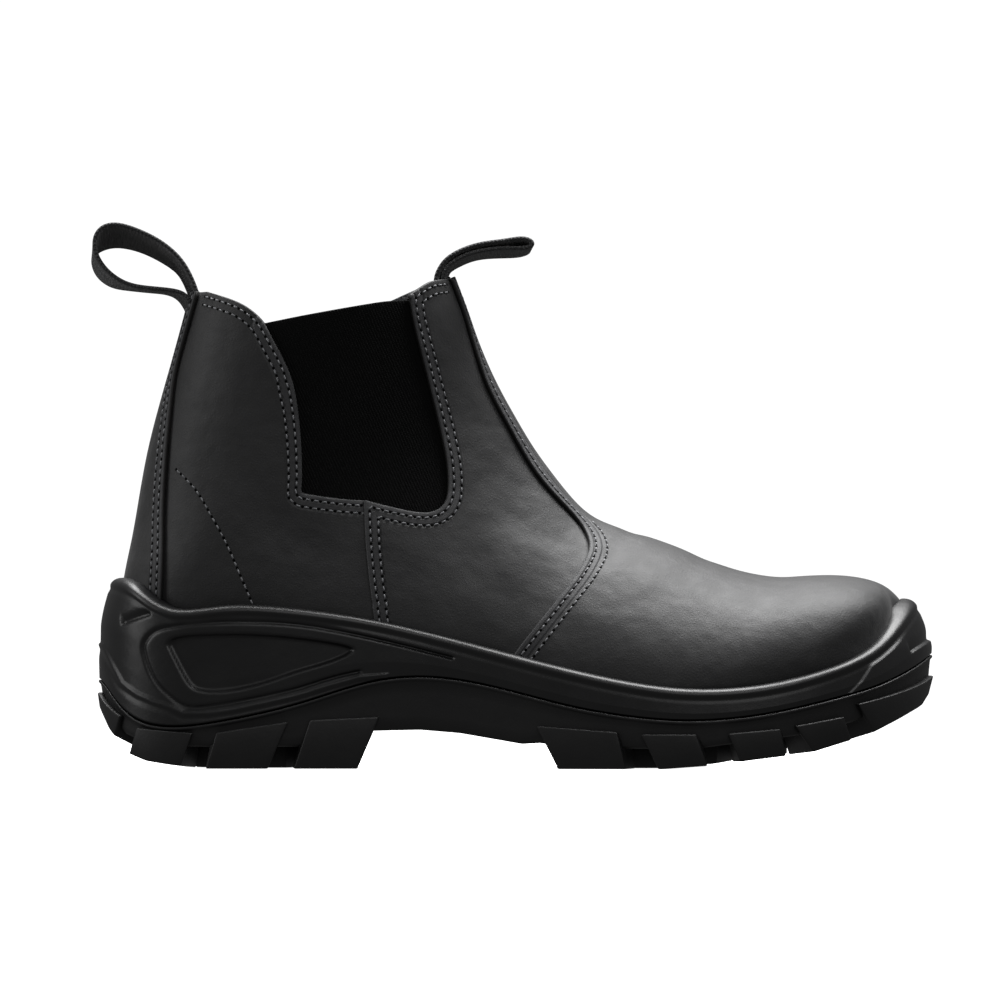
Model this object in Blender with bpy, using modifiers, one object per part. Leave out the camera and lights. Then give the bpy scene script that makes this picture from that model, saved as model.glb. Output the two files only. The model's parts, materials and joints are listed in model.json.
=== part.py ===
"""A right side gore work boot, built as a maker would put it together.

The tables are in millimetres: x runs forward from the back of the sole, y from the outer
side (minus) to the inner side (plus), and z up from the floor. Every leather piece is cut
from one form, the shape of the last with its leather, given by the SECTIONS table.
"""

from collections import namedtuple
import math

import bmesh
import bpy
import numpy as np
from mathutils import Vector

MM = 0.001
SOLE_LENGTH = 305.0
CENTRE_X = 151.87
CENTRE_Y = -2.556
ORIGIN = (CENTRE_X, CENTRE_Y, 0.0)

GAP = 0.3
OVERLAY = 1.5
BASE_SKIN = 1.9
UPPER_WALL = 2.1
LINING = BASE_SKIN + UPPER_WALL
GORE_SKIN = BASE_SKIN + 1.0
SEAM_SKIN = 0.5
INSOLE_RISE = 4.9
FEATHER_RISE = 5.3

# Facets of the form: points up one side and the share of them below its widest place, rings
# along it, and how fast its toe end draws back as its skin sinks.
SIDE_STEPS = 10
SIDE_SPLIT = 0.4
RINGS = 28
END_PULL = 7.0

# Limits of the cutters, clear of the whole boot.
HALF_SPAN = 90.0
HALF_CLEARANCE = 4.0
BEHIND = -20.0
AHEAD = 330.0
ABOVE = 185.0
UNDER = 0.0

Section = namedtuple(
    "Section", "top_x top_z low_x low_z outer inner waist crown peak base top_y low_y"
)
# One row for each cut through the form, from the toe to above the collar. top is the ridge
# and low the underside, or the back of the heel. outer and inner are half widths, waist is
# how far up the widest place lies, crown and base are how square the two ends are, and peak
# narrows the ridge.
SECTIONS = [
    Section(295.5, 33.0, 262.0, 26.5, 43.0, 42.0, 0.22, 2.30, 0.00, 3.0, 5.5, 3.0),
    Section(298.0, 44.0, 258.0, 25.5, 45.5, 44.0, 0.22, 2.35, 0.00, 3.0, 5.5, 2.6),
    Section(297.3, 54.0, 253.0, 24.6, 47.6, 45.6, 0.22, 2.40, 0.00, 3.0, 5.5, 2.2),
    Section(292.0, 62.5, 247.0, 23.8, 49.7, 47.0, 0.22, 2.45, 0.00, 3.1, 5.5, 1.8),
    Section(283.5, 68.0, 240.0, 23.0, 51.5, 48.0, 0.22, 2.45, 0.02, 3.2, 5.4, 1.3),
    Section(268.0, 70.2, 231.0, 22.2, 53.0, 48.6, 0.22, 2.40, 0.04, 3.3, 5.2, 0.8),
    Section(249.0, 69.8, 221.0, 21.6, 53.8, 48.6, 0.22, 2.30, 0.06, 3.4, 5.0, 0.0),
    Section(231.0, 72.9, 210.0, 21.3, 53.6, 47.6, 0.21, 2.20, 0.09, 3.4, 4.8, -0.8),
    Section(213.0, 80.0, 197.0, 21.5, 52.2, 45.2, 0.20, 2.10, 0.13, 3.4, 4.5, -1.2),
    Section(196.0, 85.9, 182.0, 23.5, 49.6, 41.6, 0.20, 2.05, 0.18, 3.4, 4.0, -1.4),
    Section(182.5, 90.8, 163.0, 28.0, 46.0, 38.0, 0.20, 2.00, 0.22, 3.4, 3.4, -1.4),
    Section(173.5, 98.3, 138.0, 34.0, 42.2, 35.2, 0.22, 2.00, 0.23, 3.3, 2.6, -1.2),
    Section(166.0, 107.6, 108.0, 38.5, 39.2, 34.2, 0.24, 2.00, 0.21, 3.2, 2.0, -0.8),
    Section(159.0, 117.4, 76.0, 40.5, 37.8, 34.6, 0.27, 2.00, 0.17, 3.1, 1.4, -0.4),
    Section(152.5, 128.3, 44.0, 41.0, 37.0, 35.0, 0.30, 2.05, 0.12, 2.8, 0.9, 0.0),
    Section(147.0, 138.3, 17.5, 44.0, 36.2, 35.0, 0.33, 2.10, 0.08, 2.4, 0.5, 0.0),
    Section(142.4, 148.0, 9.0, 61.0, 35.2, 34.4, 0.36, 2.15, 0.05, 2.25, 0.2, 0.0),
    Section(138.6, 157.5, 12.9, 85.0, 34.2, 33.8, 0.39, 2.20, 0.03, 2.15, 0.0, 0.0),
    Section(135.3, 167.0, 18.5, 116.0, 33.8, 33.6, 0.43, 2.20, 0.02, 2.10, 0.0, 0.0),
    Section(131.0, 178.5, 27.6, 150.0, 34.2, 34.2, 0.46, 2.20, 0.02, 2.10, 0.0, 0.0),
    Section(126.5, 191.0, 36.8, 185.0, 35.2, 35.2, 0.48, 2.20, 0.02, 2.10, 0.0, 0.0),
]

Edge = namedtuple("Edge", "x outer inner rand joint lean")
# The outline of the sole, a row for each station from the heel to the toe. outer and inner
# are its y on the two sides, rand the height of its top edge, joint the height of the line
# between midsole and outsole, and lean how far the wall comes in at its top.
SOLE = [
    Edge(0.6, 0.0, 0.0, 69.2, 32.0, 4.2),
    Edge(3.6, -16.5, 16.5, 68.9, 29.0, 3.9),
    Edge(12.5, -30.5, 30.0, 65.4, 19.0, 2.6),
    Edge(27.5, -38.8, 37.8, 58.2, 15.0, 1.2),
    Edge(48.0, -42.0, 40.4, 59.4, 17.4, 0.5),
    Edge(74.0, -42.0, 38.8, 58.2, 23.4, 0.0),
    Edge(100.0, -41.2, 35.6, 54.4, 31.2, 0.0),
    Edge(125.0, -42.8, 34.0, 48.6, 32.8, 0.0),
    Edge(150.0, -48.0, 36.2, 41.9, 28.2, 0.0),
    Edge(175.0, -54.0, 42.2, 35.6, 22.0, 0.0),
    Edge(200.0, -58.4, 49.6, 30.7, 18.2, 0.0),
    Edge(222.0, -59.7, 53.6, 29.1, 17.5, 0.0),
    Edge(245.0, -57.2, 54.5, 31.0, 20.0, 0.3),
    Edge(267.0, -49.5, 51.0, 36.4, 24.8, 1.0),
    Edge(286.0, -35.5, 41.5, 44.6, 30.4, 2.6),
    Edge(299.5, -16.0, 25.5, 56.0, 37.2, 5.2),
    Edge(SOLE_LENGTH, 5.5, 5.5, 61.6, 41.0, 6.0),
]
SOLE_STEPS = 26
LEAN_SPAN = 18.0
LEAN_POWER = 1.5

# Heights under the sole by x: the floor side of the lugs, the plate between them, and the
# outsole's sunk top where the midsole sits.
GROUND = [(-2, 30), (0, 24), (4.5, 14.3), (11.4, 5.6), (18, 2.8), (26, 1.5), (38, 0), (96, 0),
          (166, 0), (206, 0), (222.4, 1.2), (234, 2.7), (250.8, 4.8), (260.8, 6.2),
          (274.8, 10.5), (283.1, 13.3), (292.4, 18), (301, 22.8), (304.4, 28), (308, 33)]
PLATE = [(-2, 32), (0, 29), (4.5, 20), (11, 12.5), (20, 8.8), (30, 8), (89, 8), (97, 12.6),
         (101, 13.7), (118, 14.1), (132.5, 12.9), (147, 10.4), (155, 9.0), (162, 9.4),
         (170, 7.6), (206, 7.4), (222, 8), (234, 9.5), (250, 11.6), (261, 13), (275, 17),
         (283, 20), (292, 24.5), (301, 29.5), (308, 35)]
SEAT = [(-2, 25.5), (5, 24.5), (11, 20.5), (20, 15), (30, 12.5), (89, 12.5), (97, 17.1),
        (101, 18.2), (118, 18.6), (132.5, 17.4), (147, 14.9), (155, 13.5), (162, 13.9),
        (170, 12.1), (206, 11.9), (222, 12.5), (234, 14), (250, 16.1), (261, 17.5),
        (275, 21.5), (283, 25), (292, 29.5), (301, 34), (308, 38)]
LIP = 4.0
JOINT_GAP = 0.45
# Profile of the outsole's edge: rise above the plate and how far out of the outline, then drop
# below the joint and how far out.
PLATE_EDGE = [(0.0, -2.6), (1.0, -1.4)]
LIP_EDGE = [(1.6, -0.7), (0.6, 0.0), (0.0, 0.0), (0.0, -LIP)]
LUG_PROUD = 1.0
LUG_REACH = 23.0
LUG_ROOT = 2.0
LUG_LEDGE = 2.5

Lug = namedtuple("Lug", "name low_start low_end top_start top_end start_z end_z")
# The lugs of one side, by x at the floor and at the top of their side faces.
LUGS = [
    Lug("heel_rear", 1.0, 6.5, 1.2, 9.4, 27.5, 19.0),
    Lug("heel_corner", 12.0, 31.0, 15.4, 35.4, 14.7, 12.9),
    Lug("heel_side", 40.1, 62.7, 44.1, 70.2, 13.0, 17.0),
    Lug("heel_breast", 72.2, 95.3, 78.1, 103.2, 17.6, 18.8),
    Lug("tread_rear", 168.0, 192.7, 160.4, 189.6, 15.6, 13.4),
    Lug("tread_ball", 204.4, 222.4, 198.3, 218.1, 12.6, 12.6),
    Lug("tread_front", 234.1, 250.8, 229.8, 248.5, 12.9, 14.6),
    Lug("toe_side", 260.8, 274.8, 254.0, 271.6, 15.7, 18.9),
    Lug("toe_tip", 283.1, 303.6, 276.8, 304.4, 23.5, 33.5),
]
LUG_STEPS = 2

Bar = namedtuple("Bar", "back front sweep half_width centre_y")
# The chevron bars down the middle of the tread.
BARS = [
    Bar(17.0, 28.0, 4.0, 8.0, 0.0),
    Bar(36.0, 48.0, 5.0, 12.0, 0.0),
    Bar(57.0, 69.0, 5.0, 12.0, 0.0),
    Bar(77.0, 88.0, 5.0, 11.0, -1.0),
    Bar(172.0, 184.0, 6.0, 16.0, -6.0),
    Bar(193.0, 205.0, 6.0, 21.0, -5.0),
    Bar(214.0, 226.0, 6.0, 23.0, -3.0),
    Bar(235.0, 246.0, 6.0, 21.0, 0.0),
    Bar(255.0, 266.0, 6.0, 16.0, 2.0),
]

# Profile of the midsole's side wall: the lower rows are a share of the height from joint to
# rand and how far out of the outline, the upper rows the drop below the rand and how far out.
WALL_FOOT = [(0.0, -0.9), (0.4, -0.6)]
BEAD = [(5.6, -0.9), (4.3, -1.2), (2.6, -0.9), (1.1, -1.5), (0.2, -3.2), (0.0, -6.5)]

# Outlines in the side view, as (x, z).
HEEL_FOOT = [(17, 50.2), (0, 51.5), (BEHIND, 52)]
COLLAR_BACK = [(BEHIND, 176.5), (15, 176.5), (33, 174.3), (38, 174), (44.9, 172), (52.2, 169.1), (58, 165)]
GORE_BACK = [(61.5, 160.9), (67.3, 150.6), (71, 142.7), (73.1, 134.3), (74.6, 122), (75.2, 110), (75.0, 102)]
GORE_FOOT = [(76.4, 100.2), (88, 98.4), (99, 97.8), (107, 95.5), (117, 93.5), (123.5, 94.2)]
GORE_FRONT = [(127.4, 97.4), (128.6, 104), (127.6, 115), (124.2, 130.6), (120, 147.6), (116.4, 162.1)]
COLLAR_FRONT = [(115.2, 171.5), (118.5, 175), (124.0, 178.4), (131, 179.4), (150, 180.5)]
GORE_TOP = [(112.0, 170.3), (99.6, 169.1), (85, 166.9), (74, 165), (61.0, 162.2)]
VAMP_EDGE = [(151.0, 40.0), (156.6, 47.6), (170.8, 65.4), (176.7, 73.6), (179.4, 79.5),
             (179.2, 84.5), (174.5, 92.2), (161.5, 106.6), (150.6, 124.7), (142.1, 141.6),
             (135.4, 163.4), (129.6, 179.0)]
VAMP_FOOT = [(AHEAD, 34), (296, 37), (262, 31.6), (235, 27.8), (212, 26.8), (190, 27.8), (165, 33.6)]
BACKSTAY_EDGE = [(23.0, 50.0), (23.9, 74.9), (24.0, 90.8), (24.8, 110.0), (27.0, 136.7),
                 (29.9, 151.7), (36.5, 174.1)]
SEAM_BACK = [(101.9, 48.5), (99.8, 66.0), (98.3, 82.0), (97.4, 96.6)]
SEAM_WIDTH = 6.5

FLOOR = [(s.low_x, s.low_z) for s in reversed(SECTIONS[:16])] + [(296.0, 33.0), (AHEAD, 38.7)]

# The relief of the heel's side, as (x, z): the sunk leaf, the groove round it, the top of the
# band under it, and the crease of the heel cup.
LEAF = [(25.5, 44.8), (28.6, 47.9), (41.2, 49.1), (57.1, 49.1), (73.0, 47.9), (88.7, 45.6),
        (94.0, 42.6), (84.9, 38.1), (73.0, 34.5), (61.1, 30.5), (49.2, 27.9), (41.2, 27.5),
        (35.8, 28.6), (31.8, 33.0)]
LEAF_GROOVE = [(129.4, 40.3), (117.9, 43.2), (104.8, 46.4), (88.7, 49.9), (73.0, 52.4),
               (57.1, 53.3), (41.2, 53.1), (29.4, 51.9), (21.5, 50.0), (17.8, 46.6),
               (17.2, 42.0), (20.7, 33.0), (25.5, 27.4), (30.5, 23.6), (35.0, 22.2),
               (41.2, 22.6), (49.3, 23.8), (61.1, 26.2), (73.0, 28.9), (84.9, 32.6),
               (96.0, 35.3)]
HEEL_BAND = [(-6.0, 46.5), (2.1, 45.2), (5.7, 38.4), (9.6, 31.3), (15.2, 27.4), (21.5, 24.8),
             (26.5, 23.2), (32.0, 20.6), (41.2, 20.8), (49.3, 22.0), (61.1, 24.4),
             (73.0, 27.1), (84.9, 30.8), (96.0, 33.8), (110.0, 36.0)]
CUP_CREASE = [(28.5, 58.6), (23.7, 57.2), (13.5, 54.0), (8.6, 52.2)]
TOE_BUMPER = [(287.0, 47.5), (284.2, 39.0), (279.0, 32.0), (273.0, 26.0)]
LEAF_DEPTH = 1.6
GROOVE_DEPTH = 0.7
GROOVE_WIDTH = 1.1
BAND_PROUD = 0.7
BUMPER_PROUD = 0.7

Strap = namedtuple("Strap", "near_x near_z far_x far_z bow")
# The pull loops, a row for each place along the webbing. near is its outer edge, far its
# inner edge, and bow how far its middle stands out from the line between them.
BACK_LOOP = [
    Strap(30.7, 160.0, 30.7, 160.0, -1.7),
    Strap(31.7, 164.6, 31.7, 164.6, -1.7),
    Strap(31.6, 168.6, 31.6, 168.6, -1.5),
    Strap(28.8, 172.0, 28.4, 171.6, -0.8),
    Strap(24.0, 174.0, 23.4, 173.2, 0.0),
    Strap(17.0, 174.9, 16.0, 173.8, 0.0),
    Strap(10.0, 176.0, 8.0, 174.8, 0.0),
    Strap(4.8, 179.6, 1.6, 177.6, 0.0),
    Strap(2.0, 185.5, -0.8, 182.4, 0.0),
    Strap(1.0, 191.6, -0.4, 186.2, 0.0),
    Strap(3.4, 196.4, 3.6, 188.6, 0.0),
    Strap(9.4, 198.0, 10.0, 189.2, 0.0),
    Strap(17.4, 195.9, 17.4, 187.4, 0.0),
    Strap(25.0, 191.2, 24.4, 183.8, 0.0),
    Strap(31.4, 185.2, 30.6, 179.8, 0.0),
    Strap(38.0, 179.0, 38.0, 177.6, -0.8),
    Strap(41.8, 172.6, 41.8, 172.6, -1.6),
    Strap(39.6, 165.0, 39.6, 165.0, -1.7),
    Strap(38.2, 160.0, 38.2, 160.0, -1.7),
]
FRONT_LOOP = [
    Strap(124.3, 168.0, 124.3, 168.0, 2.0),
    Strap(120.4, 176.4, 120.4, 175.8, 2.0),
    Strap(121.8, 183.2, 122.0, 180.8, 1.4),
    Strap(127.8, 188.0, 128.2, 185.2, 0.6),
    Strap(138.0, 191.4, 138.0, 188.4, 0.0),
    Strap(149.0, 192.9, 149.0, 189.9, 0.0),
    Strap(156.6, 192.9, 156.0, 189.9, 0.0),
    Strap(158.2, 191.6, 157.6, 188.6, 0.0),
    Strap(156.6, 190.4, 156.0, 187.4, 0.0),
    Strap(149.0, 190.5, 149.0, 187.5, 0.0),
    Strap(138.4, 189.0, 138.4, 186.0, 0.0),
    Strap(130.2, 186.0, 130.4, 183.0, 0.3),
    Strap(124.6, 182.2, 124.8, 179.8, 1.2),
    Strap(122.8, 176.8, 122.8, 176.2, 1.9),
    Strap(126.6, 168.0, 126.6, 168.0, 2.0),
]
BACK_LOOP_WIDTH = 20.0
FRONT_LOOP_WIDTH = 17.0
WEBBING = 1.7
STRAP_STEPS = 3
STRAP_PER_ROW = 1


def smooth(rows, closed=False):
    """A function of the row number that runs through the rows with even curvature."""
    values = np.array(rows, float)
    count = len(values)
    matrix = np.zeros((count, count))
    right = np.zeros_like(values)
    for i in range(count):
        before, after = (i - 1) % count, (i + 1) % count
        if not closed and i in (0, count - 1):
            matrix[i, i] = 1.0
            continue
        matrix[i, before] += 1.0
        matrix[i, i] += 4.0
        matrix[i, after] += 1.0
        right[i] = 6.0 * (values[before] - 2.0 * values[i] + values[after])
    bend = np.linalg.solve(matrix, right)

    def at(place):
        i = int(math.floor(place))
        if not closed:
            i = min(max(i, 0), count - 2)
        f = place - i
        a, b = i % count, (i + 1) % count
        g = 1.0 - f
        return (g * values[a] + f * values[b]
                + ((g ** 3 - g) * bend[a] + (f ** 3 - f) * bend[b]) / 6.0)

    return at


section_at = smooth(SECTIONS)


def direction_and_slants(place):
    """The way from low to top at this section, and the cosines by which its two ends lean."""
    step = 0.01
    here, ahead, behind = (section_at(place + d) for d in (0.0, step, -step))
    up = here[[0, 1]] - here[[2, 3]]
    up /= np.linalg.norm(up)
    slants = []
    for columns in ([0, 1], [2, 3]):
        along = ahead[columns] - behind[columns]
        along /= np.linalg.norm(along)
        slants.append(max(abs(along[0] * up[1] - along[1] * up[0]), 0.6))
    return up, slants


def section_loop(place, depth):
    """Points round one section of the form, sunk by depth: up the outer side, down the inner."""
    row = Section(*section_at(place))
    up, (top_lean, low_lean) = direction_and_slants(place)
    low = np.array([row.low_x, row.low_z])
    top = np.array([row.top_x, row.top_z])
    length = np.linalg.norm(top - low)
    below = row.waist * length - depth / low_lean
    above = (1.0 - row.waist) * length - depth / top_lean
    middle = low + up * row.waist * length
    loop = []
    for side, half in ((-1, row.outer), (1, row.inner)):
        points = []
        for step in range(SIDE_STEPS + 1):
            share = step / SIDE_STEPS
            if share < SIDE_SPLIT:
                angle = share / SIDE_SPLIT * math.pi / 2
                rise = -below * math.cos(angle) ** (2 / row.base)
                width = math.sin(angle) ** (2 / row.base)
            else:
                angle = (share - SIDE_SPLIT) / (1 - SIDE_SPLIT) * math.pi / 2
                reach = math.sin(angle) ** (2 / row.crown)
                rise = above * reach
                width = max(math.cos(angle), 0.0) ** (2 / row.crown) * (1 - row.peak * reach ** 2)
            x, z = middle + up * rise
            share_up = row.waist + rise / length
            centre = row.low_y + (row.top_y - row.low_y) * share_up
            points.append((x, centre + side * (half - depth) * width, z))
        loop += points[:-1] if side < 0 else points[:0:-1]
    return loop


def to_frame(x, y, z):
    """A point of the tables as a point of the part's frame, in metres."""
    return Vector((x - ORIGIN[0], y - ORIGIN[1], z - ORIGIN[2])) * MM


def new_object(name, mesh, collection):
    """An object that holds the mesh, in the collection."""
    made = bpy.data.objects.new(name, mesh)
    collection.objects.link(made)
    return made


def loft(name, loops, collection, cap_across=False):
    """A closed solid through closed loops of points. Its ends are one face, or strips across."""
    bm = bmesh.new()
    rows = [[bm.verts.new(to_frame(*p)) for p in loop] for loop in loops]
    count = len(rows[0])
    for one, two in zip(rows, rows[1:]):
        for i in range(count):
            j = (i + 1) % count
            bm.faces.new((one[i], one[j], two[j], two[i]))
    for row in (rows[0], rows[-1]):
        if not cap_across:
            bm.faces.new(row)
            continue
        for i in range(count // 2):
            near, far = row[i], row[(count - i) % count]
            next_near, next_far = row[i + 1], row[count - i - 1]
            if near != far:
                bm.faces.new((near, next_near, far))
            if next_near != next_far:
                bm.faces.new((next_near, next_far, far))
    bmesh.ops.recalc_face_normals(bm, faces=bm.faces)
    mesh = bpy.data.meshes.new(name)
    bm.to_mesh(mesh)
    bm.free()
    return new_object(name, mesh, collection)


def form(name, depth, collection):
    """The whole form as a closed solid, its skin sunk by depth."""
    start = max(depth, 0.0) / END_PULL
    step = (len(SECTIONS) - 1) / RINGS
    places = [start] + [i * step for i in range(1, RINGS + 1) if i * step > start + 0.3]
    return loft(name, [section_loop(p, depth) for p in places], collection)


def prism(name, outline, collection, side=0):
    """A side view outline as a block across the boot, or on one side of it."""
    low, high = (-HALF_SPAN, HALF_SPAN) if side == 0 else sorted((side * HALF_CLEARANCE, side * HALF_SPAN))
    loops = [[(x, y, z) for x, z in outline] for y in (low, high)]
    return loft(name, loops, collection)


def shifted(points, away):
    """A side view line moved sideways, to the left of its run if away is positive."""
    line = np.array(points, float)
    along = np.gradient(line, axis=0)
    along /= np.linalg.norm(along, axis=1)[:, None]
    return [tuple(p) for p in line + away * np.stack([-along[:, 1], along[:, 0]], axis=1)]


def fine(points, per_step=2):
    """A smooth line through the points, with per_step pieces between each two."""
    curve = smooth(points)
    count = (len(points) - 1) * per_step
    return [tuple(curve(i / per_step)) for i in range(count + 1)]


def boolean(target, other, operation):
    """Joins, cuts or keeps the common part of the target with the other solid."""
    modifier = target.modifiers.new(f"{operation.lower()} {other.name}", "BOOLEAN")
    modifier.operation = operation
    modifier.object = other
    modifier.solver = "EXACT"
    return modifier


def outline_rows():
    """Names and functions of the sole's outer and inner edge, from the heel to the toe."""
    sides = []
    for column in ("outer", "inner"):
        rows = [(e.x, getattr(e, column), e.rand, e.joint, e.lean) for e in SOLE]
        sides.append(rows)
    ring = sides[0] + sides[1][-2:0:-1]
    return smooth(ring, closed=True), len(SOLE) - 1


ring_at, TOE_PLACE = outline_rows()


def sole_point(place, out):
    """A point of the sole's outline moved out by a distance, with its rand and joint heights."""
    here, ahead, behind = (ring_at(place + d) for d in (0.0, 0.02, -0.02))
    along = ahead[:2] - behind[:2]
    along /= np.linalg.norm(along)
    x, y = here[:2] + out * np.array([along[1], -along[0]])
    return x, y, here[2], here[3]


def sole_places():
    """Even places round the sole: up the outer side to the toe and back down the inner."""
    fine_count = 1200
    whole = 2 * TOE_PLACE
    points = np.array([ring_at(whole * i / fine_count)[:2] for i in range(fine_count + 1)])
    run = np.concatenate([[0], np.cumsum(np.linalg.norm(np.diff(points, axis=0), axis=1))])
    toe = fine_count // 2
    outer = np.interp(np.linspace(0, run[toe], SOLE_STEPS + 1), run[:toe + 1], np.arange(toe + 1))
    inner = np.interp(np.linspace(run[toe], run[-1], SOLE_STEPS + 1), run[toe:],
                      np.arange(toe, fine_count + 1))
    return [whole * i / fine_count for i in [*outer, *inner[1:-1]]]


def sole_loop(out, height, height_out=None, drop=None):
    """A loop round the sole, moved out by a distance. height gives z from x, rand and joint.

    height_out is the distance at which x is taken for the height, where it isn't the loop's.
    drop gives the depth below the rand, for a loop of the wall that leans in at the top.
    """
    loop = []
    for place in sole_places():
        lean = 0.0
        if drop is not None:
            _, _, rand, joint, lean = ring_at(place)
            lean *= max(1.0 - drop(rand, joint) / LEAN_SPAN, 0.0) ** LEAN_POWER
        x, y, rand, joint = sole_point(place, out - lean)
        level_x = x if height_out is None else sole_point(place, height_out)[0]
        loop.append((x, y, height(level_x, rand, joint)))
    return loop


def profile(table, x):
    """Height from a table of x and height."""
    return float(np.interp(x, [p[0] for p in table], [p[1] for p in table]))


def midsole_blank(name, collection, grow=0.0):
    """The midsole before its cavity is cut, its side wall moved out by grow."""
    loops = [
        sole_loop(-LIP - GAP, lambda x, rand, joint: profile(SEAT, x) + JOINT_GAP, -LIP),
        sole_loop(-LIP - GAP, lambda x, rand, joint: joint + JOINT_GAP),
    ]
    for share, out in WALL_FOOT:
        loops.append(sole_loop(
            out + grow, lambda x, rand, joint, f=share: joint + JOINT_GAP + f * (rand - joint),
            drop=lambda rand, joint, f=share: (1.0 - f) * (rand - joint)))
    for below, out in BEAD:
        loops.append(sole_loop(out + grow, lambda x, rand, joint, d=below: rand - d,
                               drop=lambda rand, joint, d=below: d))
    return loft(name, loops, collection, cap_across=True)


def side_place(side, x):
    """The place on the outline of one side that lies at x."""
    low, high = (0.0, TOE_PLACE) if side < 0 else (2.0 * TOE_PLACE, float(TOE_PLACE))
    for _ in range(40):
        middle = (low + high) / 2
        if ring_at(middle)[0] < x:
            low = middle
        else:
            high = middle
    return (low + high) / 2


def lug_solid(lug, side, collection):
    """One lug: its section runs down the side wall, under the sole and up into the plate."""
    low_span = [side_place(side, x) for x in (lug.low_start, lug.low_end)]
    top_span = [side_place(side, x) for x in (lug.top_start, lug.top_end)]
    loops = []
    for step in range(LUG_STEPS + 1):
        share = step / LUG_STEPS
        low_place = low_span[0] + (low_span[1] - low_span[0]) * share
        top_place = top_span[0] + (top_span[1] - top_span[0]) * share
        top = lug.start_z + (lug.end_z - lug.start_z) * share
        mid_place = low_place + (top_place - low_place) * 0.5
        loop = []
        for place, out, height in (
            (low_place, 0.0, None), (top_place, LUG_PROUD, top), (top_place, -LUG_LEDGE, top),
            (mid_place, -LUG_LEDGE, "root"), (mid_place, -LUG_REACH, "root"),
            (low_place, -LUG_REACH, None),
        ):
            x, y = sole_point(place, out)[:2]
            if height is None:
                z = profile(GROUND, x)
            elif height == "root":
                z = profile(PLATE, x) + LUG_ROOT
            else:
                z = height
            loop.append((x, y, z))
        loops.append(loop)
    name = f"lug_{lug.name}_{'outer' if side < 0 else 'inner'}"
    return loft(name, loops, collection)


def bar_solid(number, bar, collection):
    """One chevron bar of the tread."""
    left, right = bar.centre_y - bar.half_width, bar.centre_y + bar.half_width
    outline = [(bar.back, left), (bar.back + bar.sweep, bar.centre_y), (bar.back, right),
               (bar.front, right), (bar.front + bar.sweep, bar.centre_y), (bar.front, left)]
    loops = [[(x, y, profile(GROUND, x)) for x, y in outline],
             [(x, y, profile(PLATE, x) + LUG_ROOT) for x, y in outline]]
    return loft(f"bar_{number}", loops, collection)


def outsole(parts, helpers):
    """Outsole: a plate with a raised lip, side lugs and chevron bars."""
    loops = []
    for rise, out in PLATE_EDGE:
        loops.append(sole_loop(out, lambda x, rand, joint, r=rise: profile(PLATE, x) + r))
    for drop, out in LIP_EDGE:
        loops.append(sole_loop(out, lambda x, rand, joint, d=drop: joint - d))
    loops.append(sole_loop(-LIP, lambda x, rand, joint: profile(SEAT, x)))
    made = loft("outsole", loops, parts, cap_across=True)
    for lug in LUGS:
        for side in (-1, 1):
            boolean(made, lug_solid(lug, side, helpers), "UNION")
    for number, bar in enumerate(BARS):
        boolean(made, bar_solid(number, bar, helpers), "UNION")
    return made


def wall_sink(name, outline, depth, helpers):
    """A cutter that sinks a side view outline into the midsole's wall by depth."""
    cutter = prism(name, outline, helpers)
    boolean(cutter, midsole_blank(f"{name}_core", helpers, -depth), "DIFFERENCE")
    return cutter


def midsole(parts, helpers):
    """Midsole: a tray that holds the foot of the upper, with the relief of its side."""
    made = midsole_blank("midsole", parts)
    bumper = TOE_BUMPER + [(AHEAD, TOE_BUMPER[-1][1]), (AHEAD, TOE_BUMPER[0][1])]
    band = HEEL_BAND + [(HEEL_BAND[-1][0], UNDER), (HEEL_BAND[0][0], UNDER)]
    for name, outline, proud in (("bumper", bumper, BUMPER_PROUD), ("heel_band", band, BAND_PROUD)):
        raised = midsole_blank(name, helpers, proud)
        boolean(raised, prism(f"{name}_edge", outline, helpers), "INTERSECT")
        boolean(made, raised, "UNION")
    boolean(made, wall_sink("leaf", LEAF, LEAF_DEPTH, helpers), "DIFFERENCE")
    for name, line in (("leaf_groove", LEAF_GROOVE), ("cup_crease", CUP_CREASE)):
        strip = line + shifted(line, GROOVE_WIDTH)[::-1]
        boolean(made, wall_sink(name, strip, GROOVE_DEPTH, helpers), "DIFFERENCE")
    boolean(made, form("cavity", BASE_SKIN - GAP, helpers), "DIFFERENCE")
    for name, outline, skin in overlay_outlines():
        pocket = form(f"{name}_pocket", skin - GAP, helpers)
        boolean(pocket, prism(f"{name}_pocket_edge", outline(GAP), helpers), "INTERSECT")
        boolean(made, pocket, "DIFFERENCE")
    return made


def vamp_outline(grow=0.0):
    """Side view of the vamp and the strip that runs up the front of the boot."""
    line = shifted(fine(VAMP_EDGE), grow)
    foot = [(x, z - grow) for x, z in VAMP_FOOT]
    return [(line[0][0], line[0][1] - grow)] + line + [(line[-1][0], ABOVE), (AHEAD, ABOVE)] + foot


def backstay_outline(grow=0.0):
    """Side view of the strip up the back of the boot."""
    line = shifted(BACKSTAY_EDGE, -grow)
    foot = line[0][1] - grow
    return [(line[0][0], foot)] + line + [(BEHIND, ABOVE), (BEHIND, foot)]


def seam_outline(grow=0.0):
    """Side view of the raised seam under the gore."""
    line = list(SEAM_BACK)
    if grow:
        line[0] = (line[0][0], line[0][1] - grow)
    return shifted(line, grow) + shifted(line, -SEAM_WIDTH - grow)[::-1]


def overlay_outlines():
    """Name, side view outline and skin depth of each piece that lies on the upper."""
    return [("vamp", vamp_outline, 0.0), ("backstay", backstay_outline, 0.0),
            ("side_seam", seam_outline, SEAM_SKIN)]


def gore_window(shrink=0.0):
    """The lines of the gore's window, from the collar at the back round to the front."""
    return shifted(GORE_BACK + GORE_FOOT + GORE_FRONT, shrink)


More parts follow.
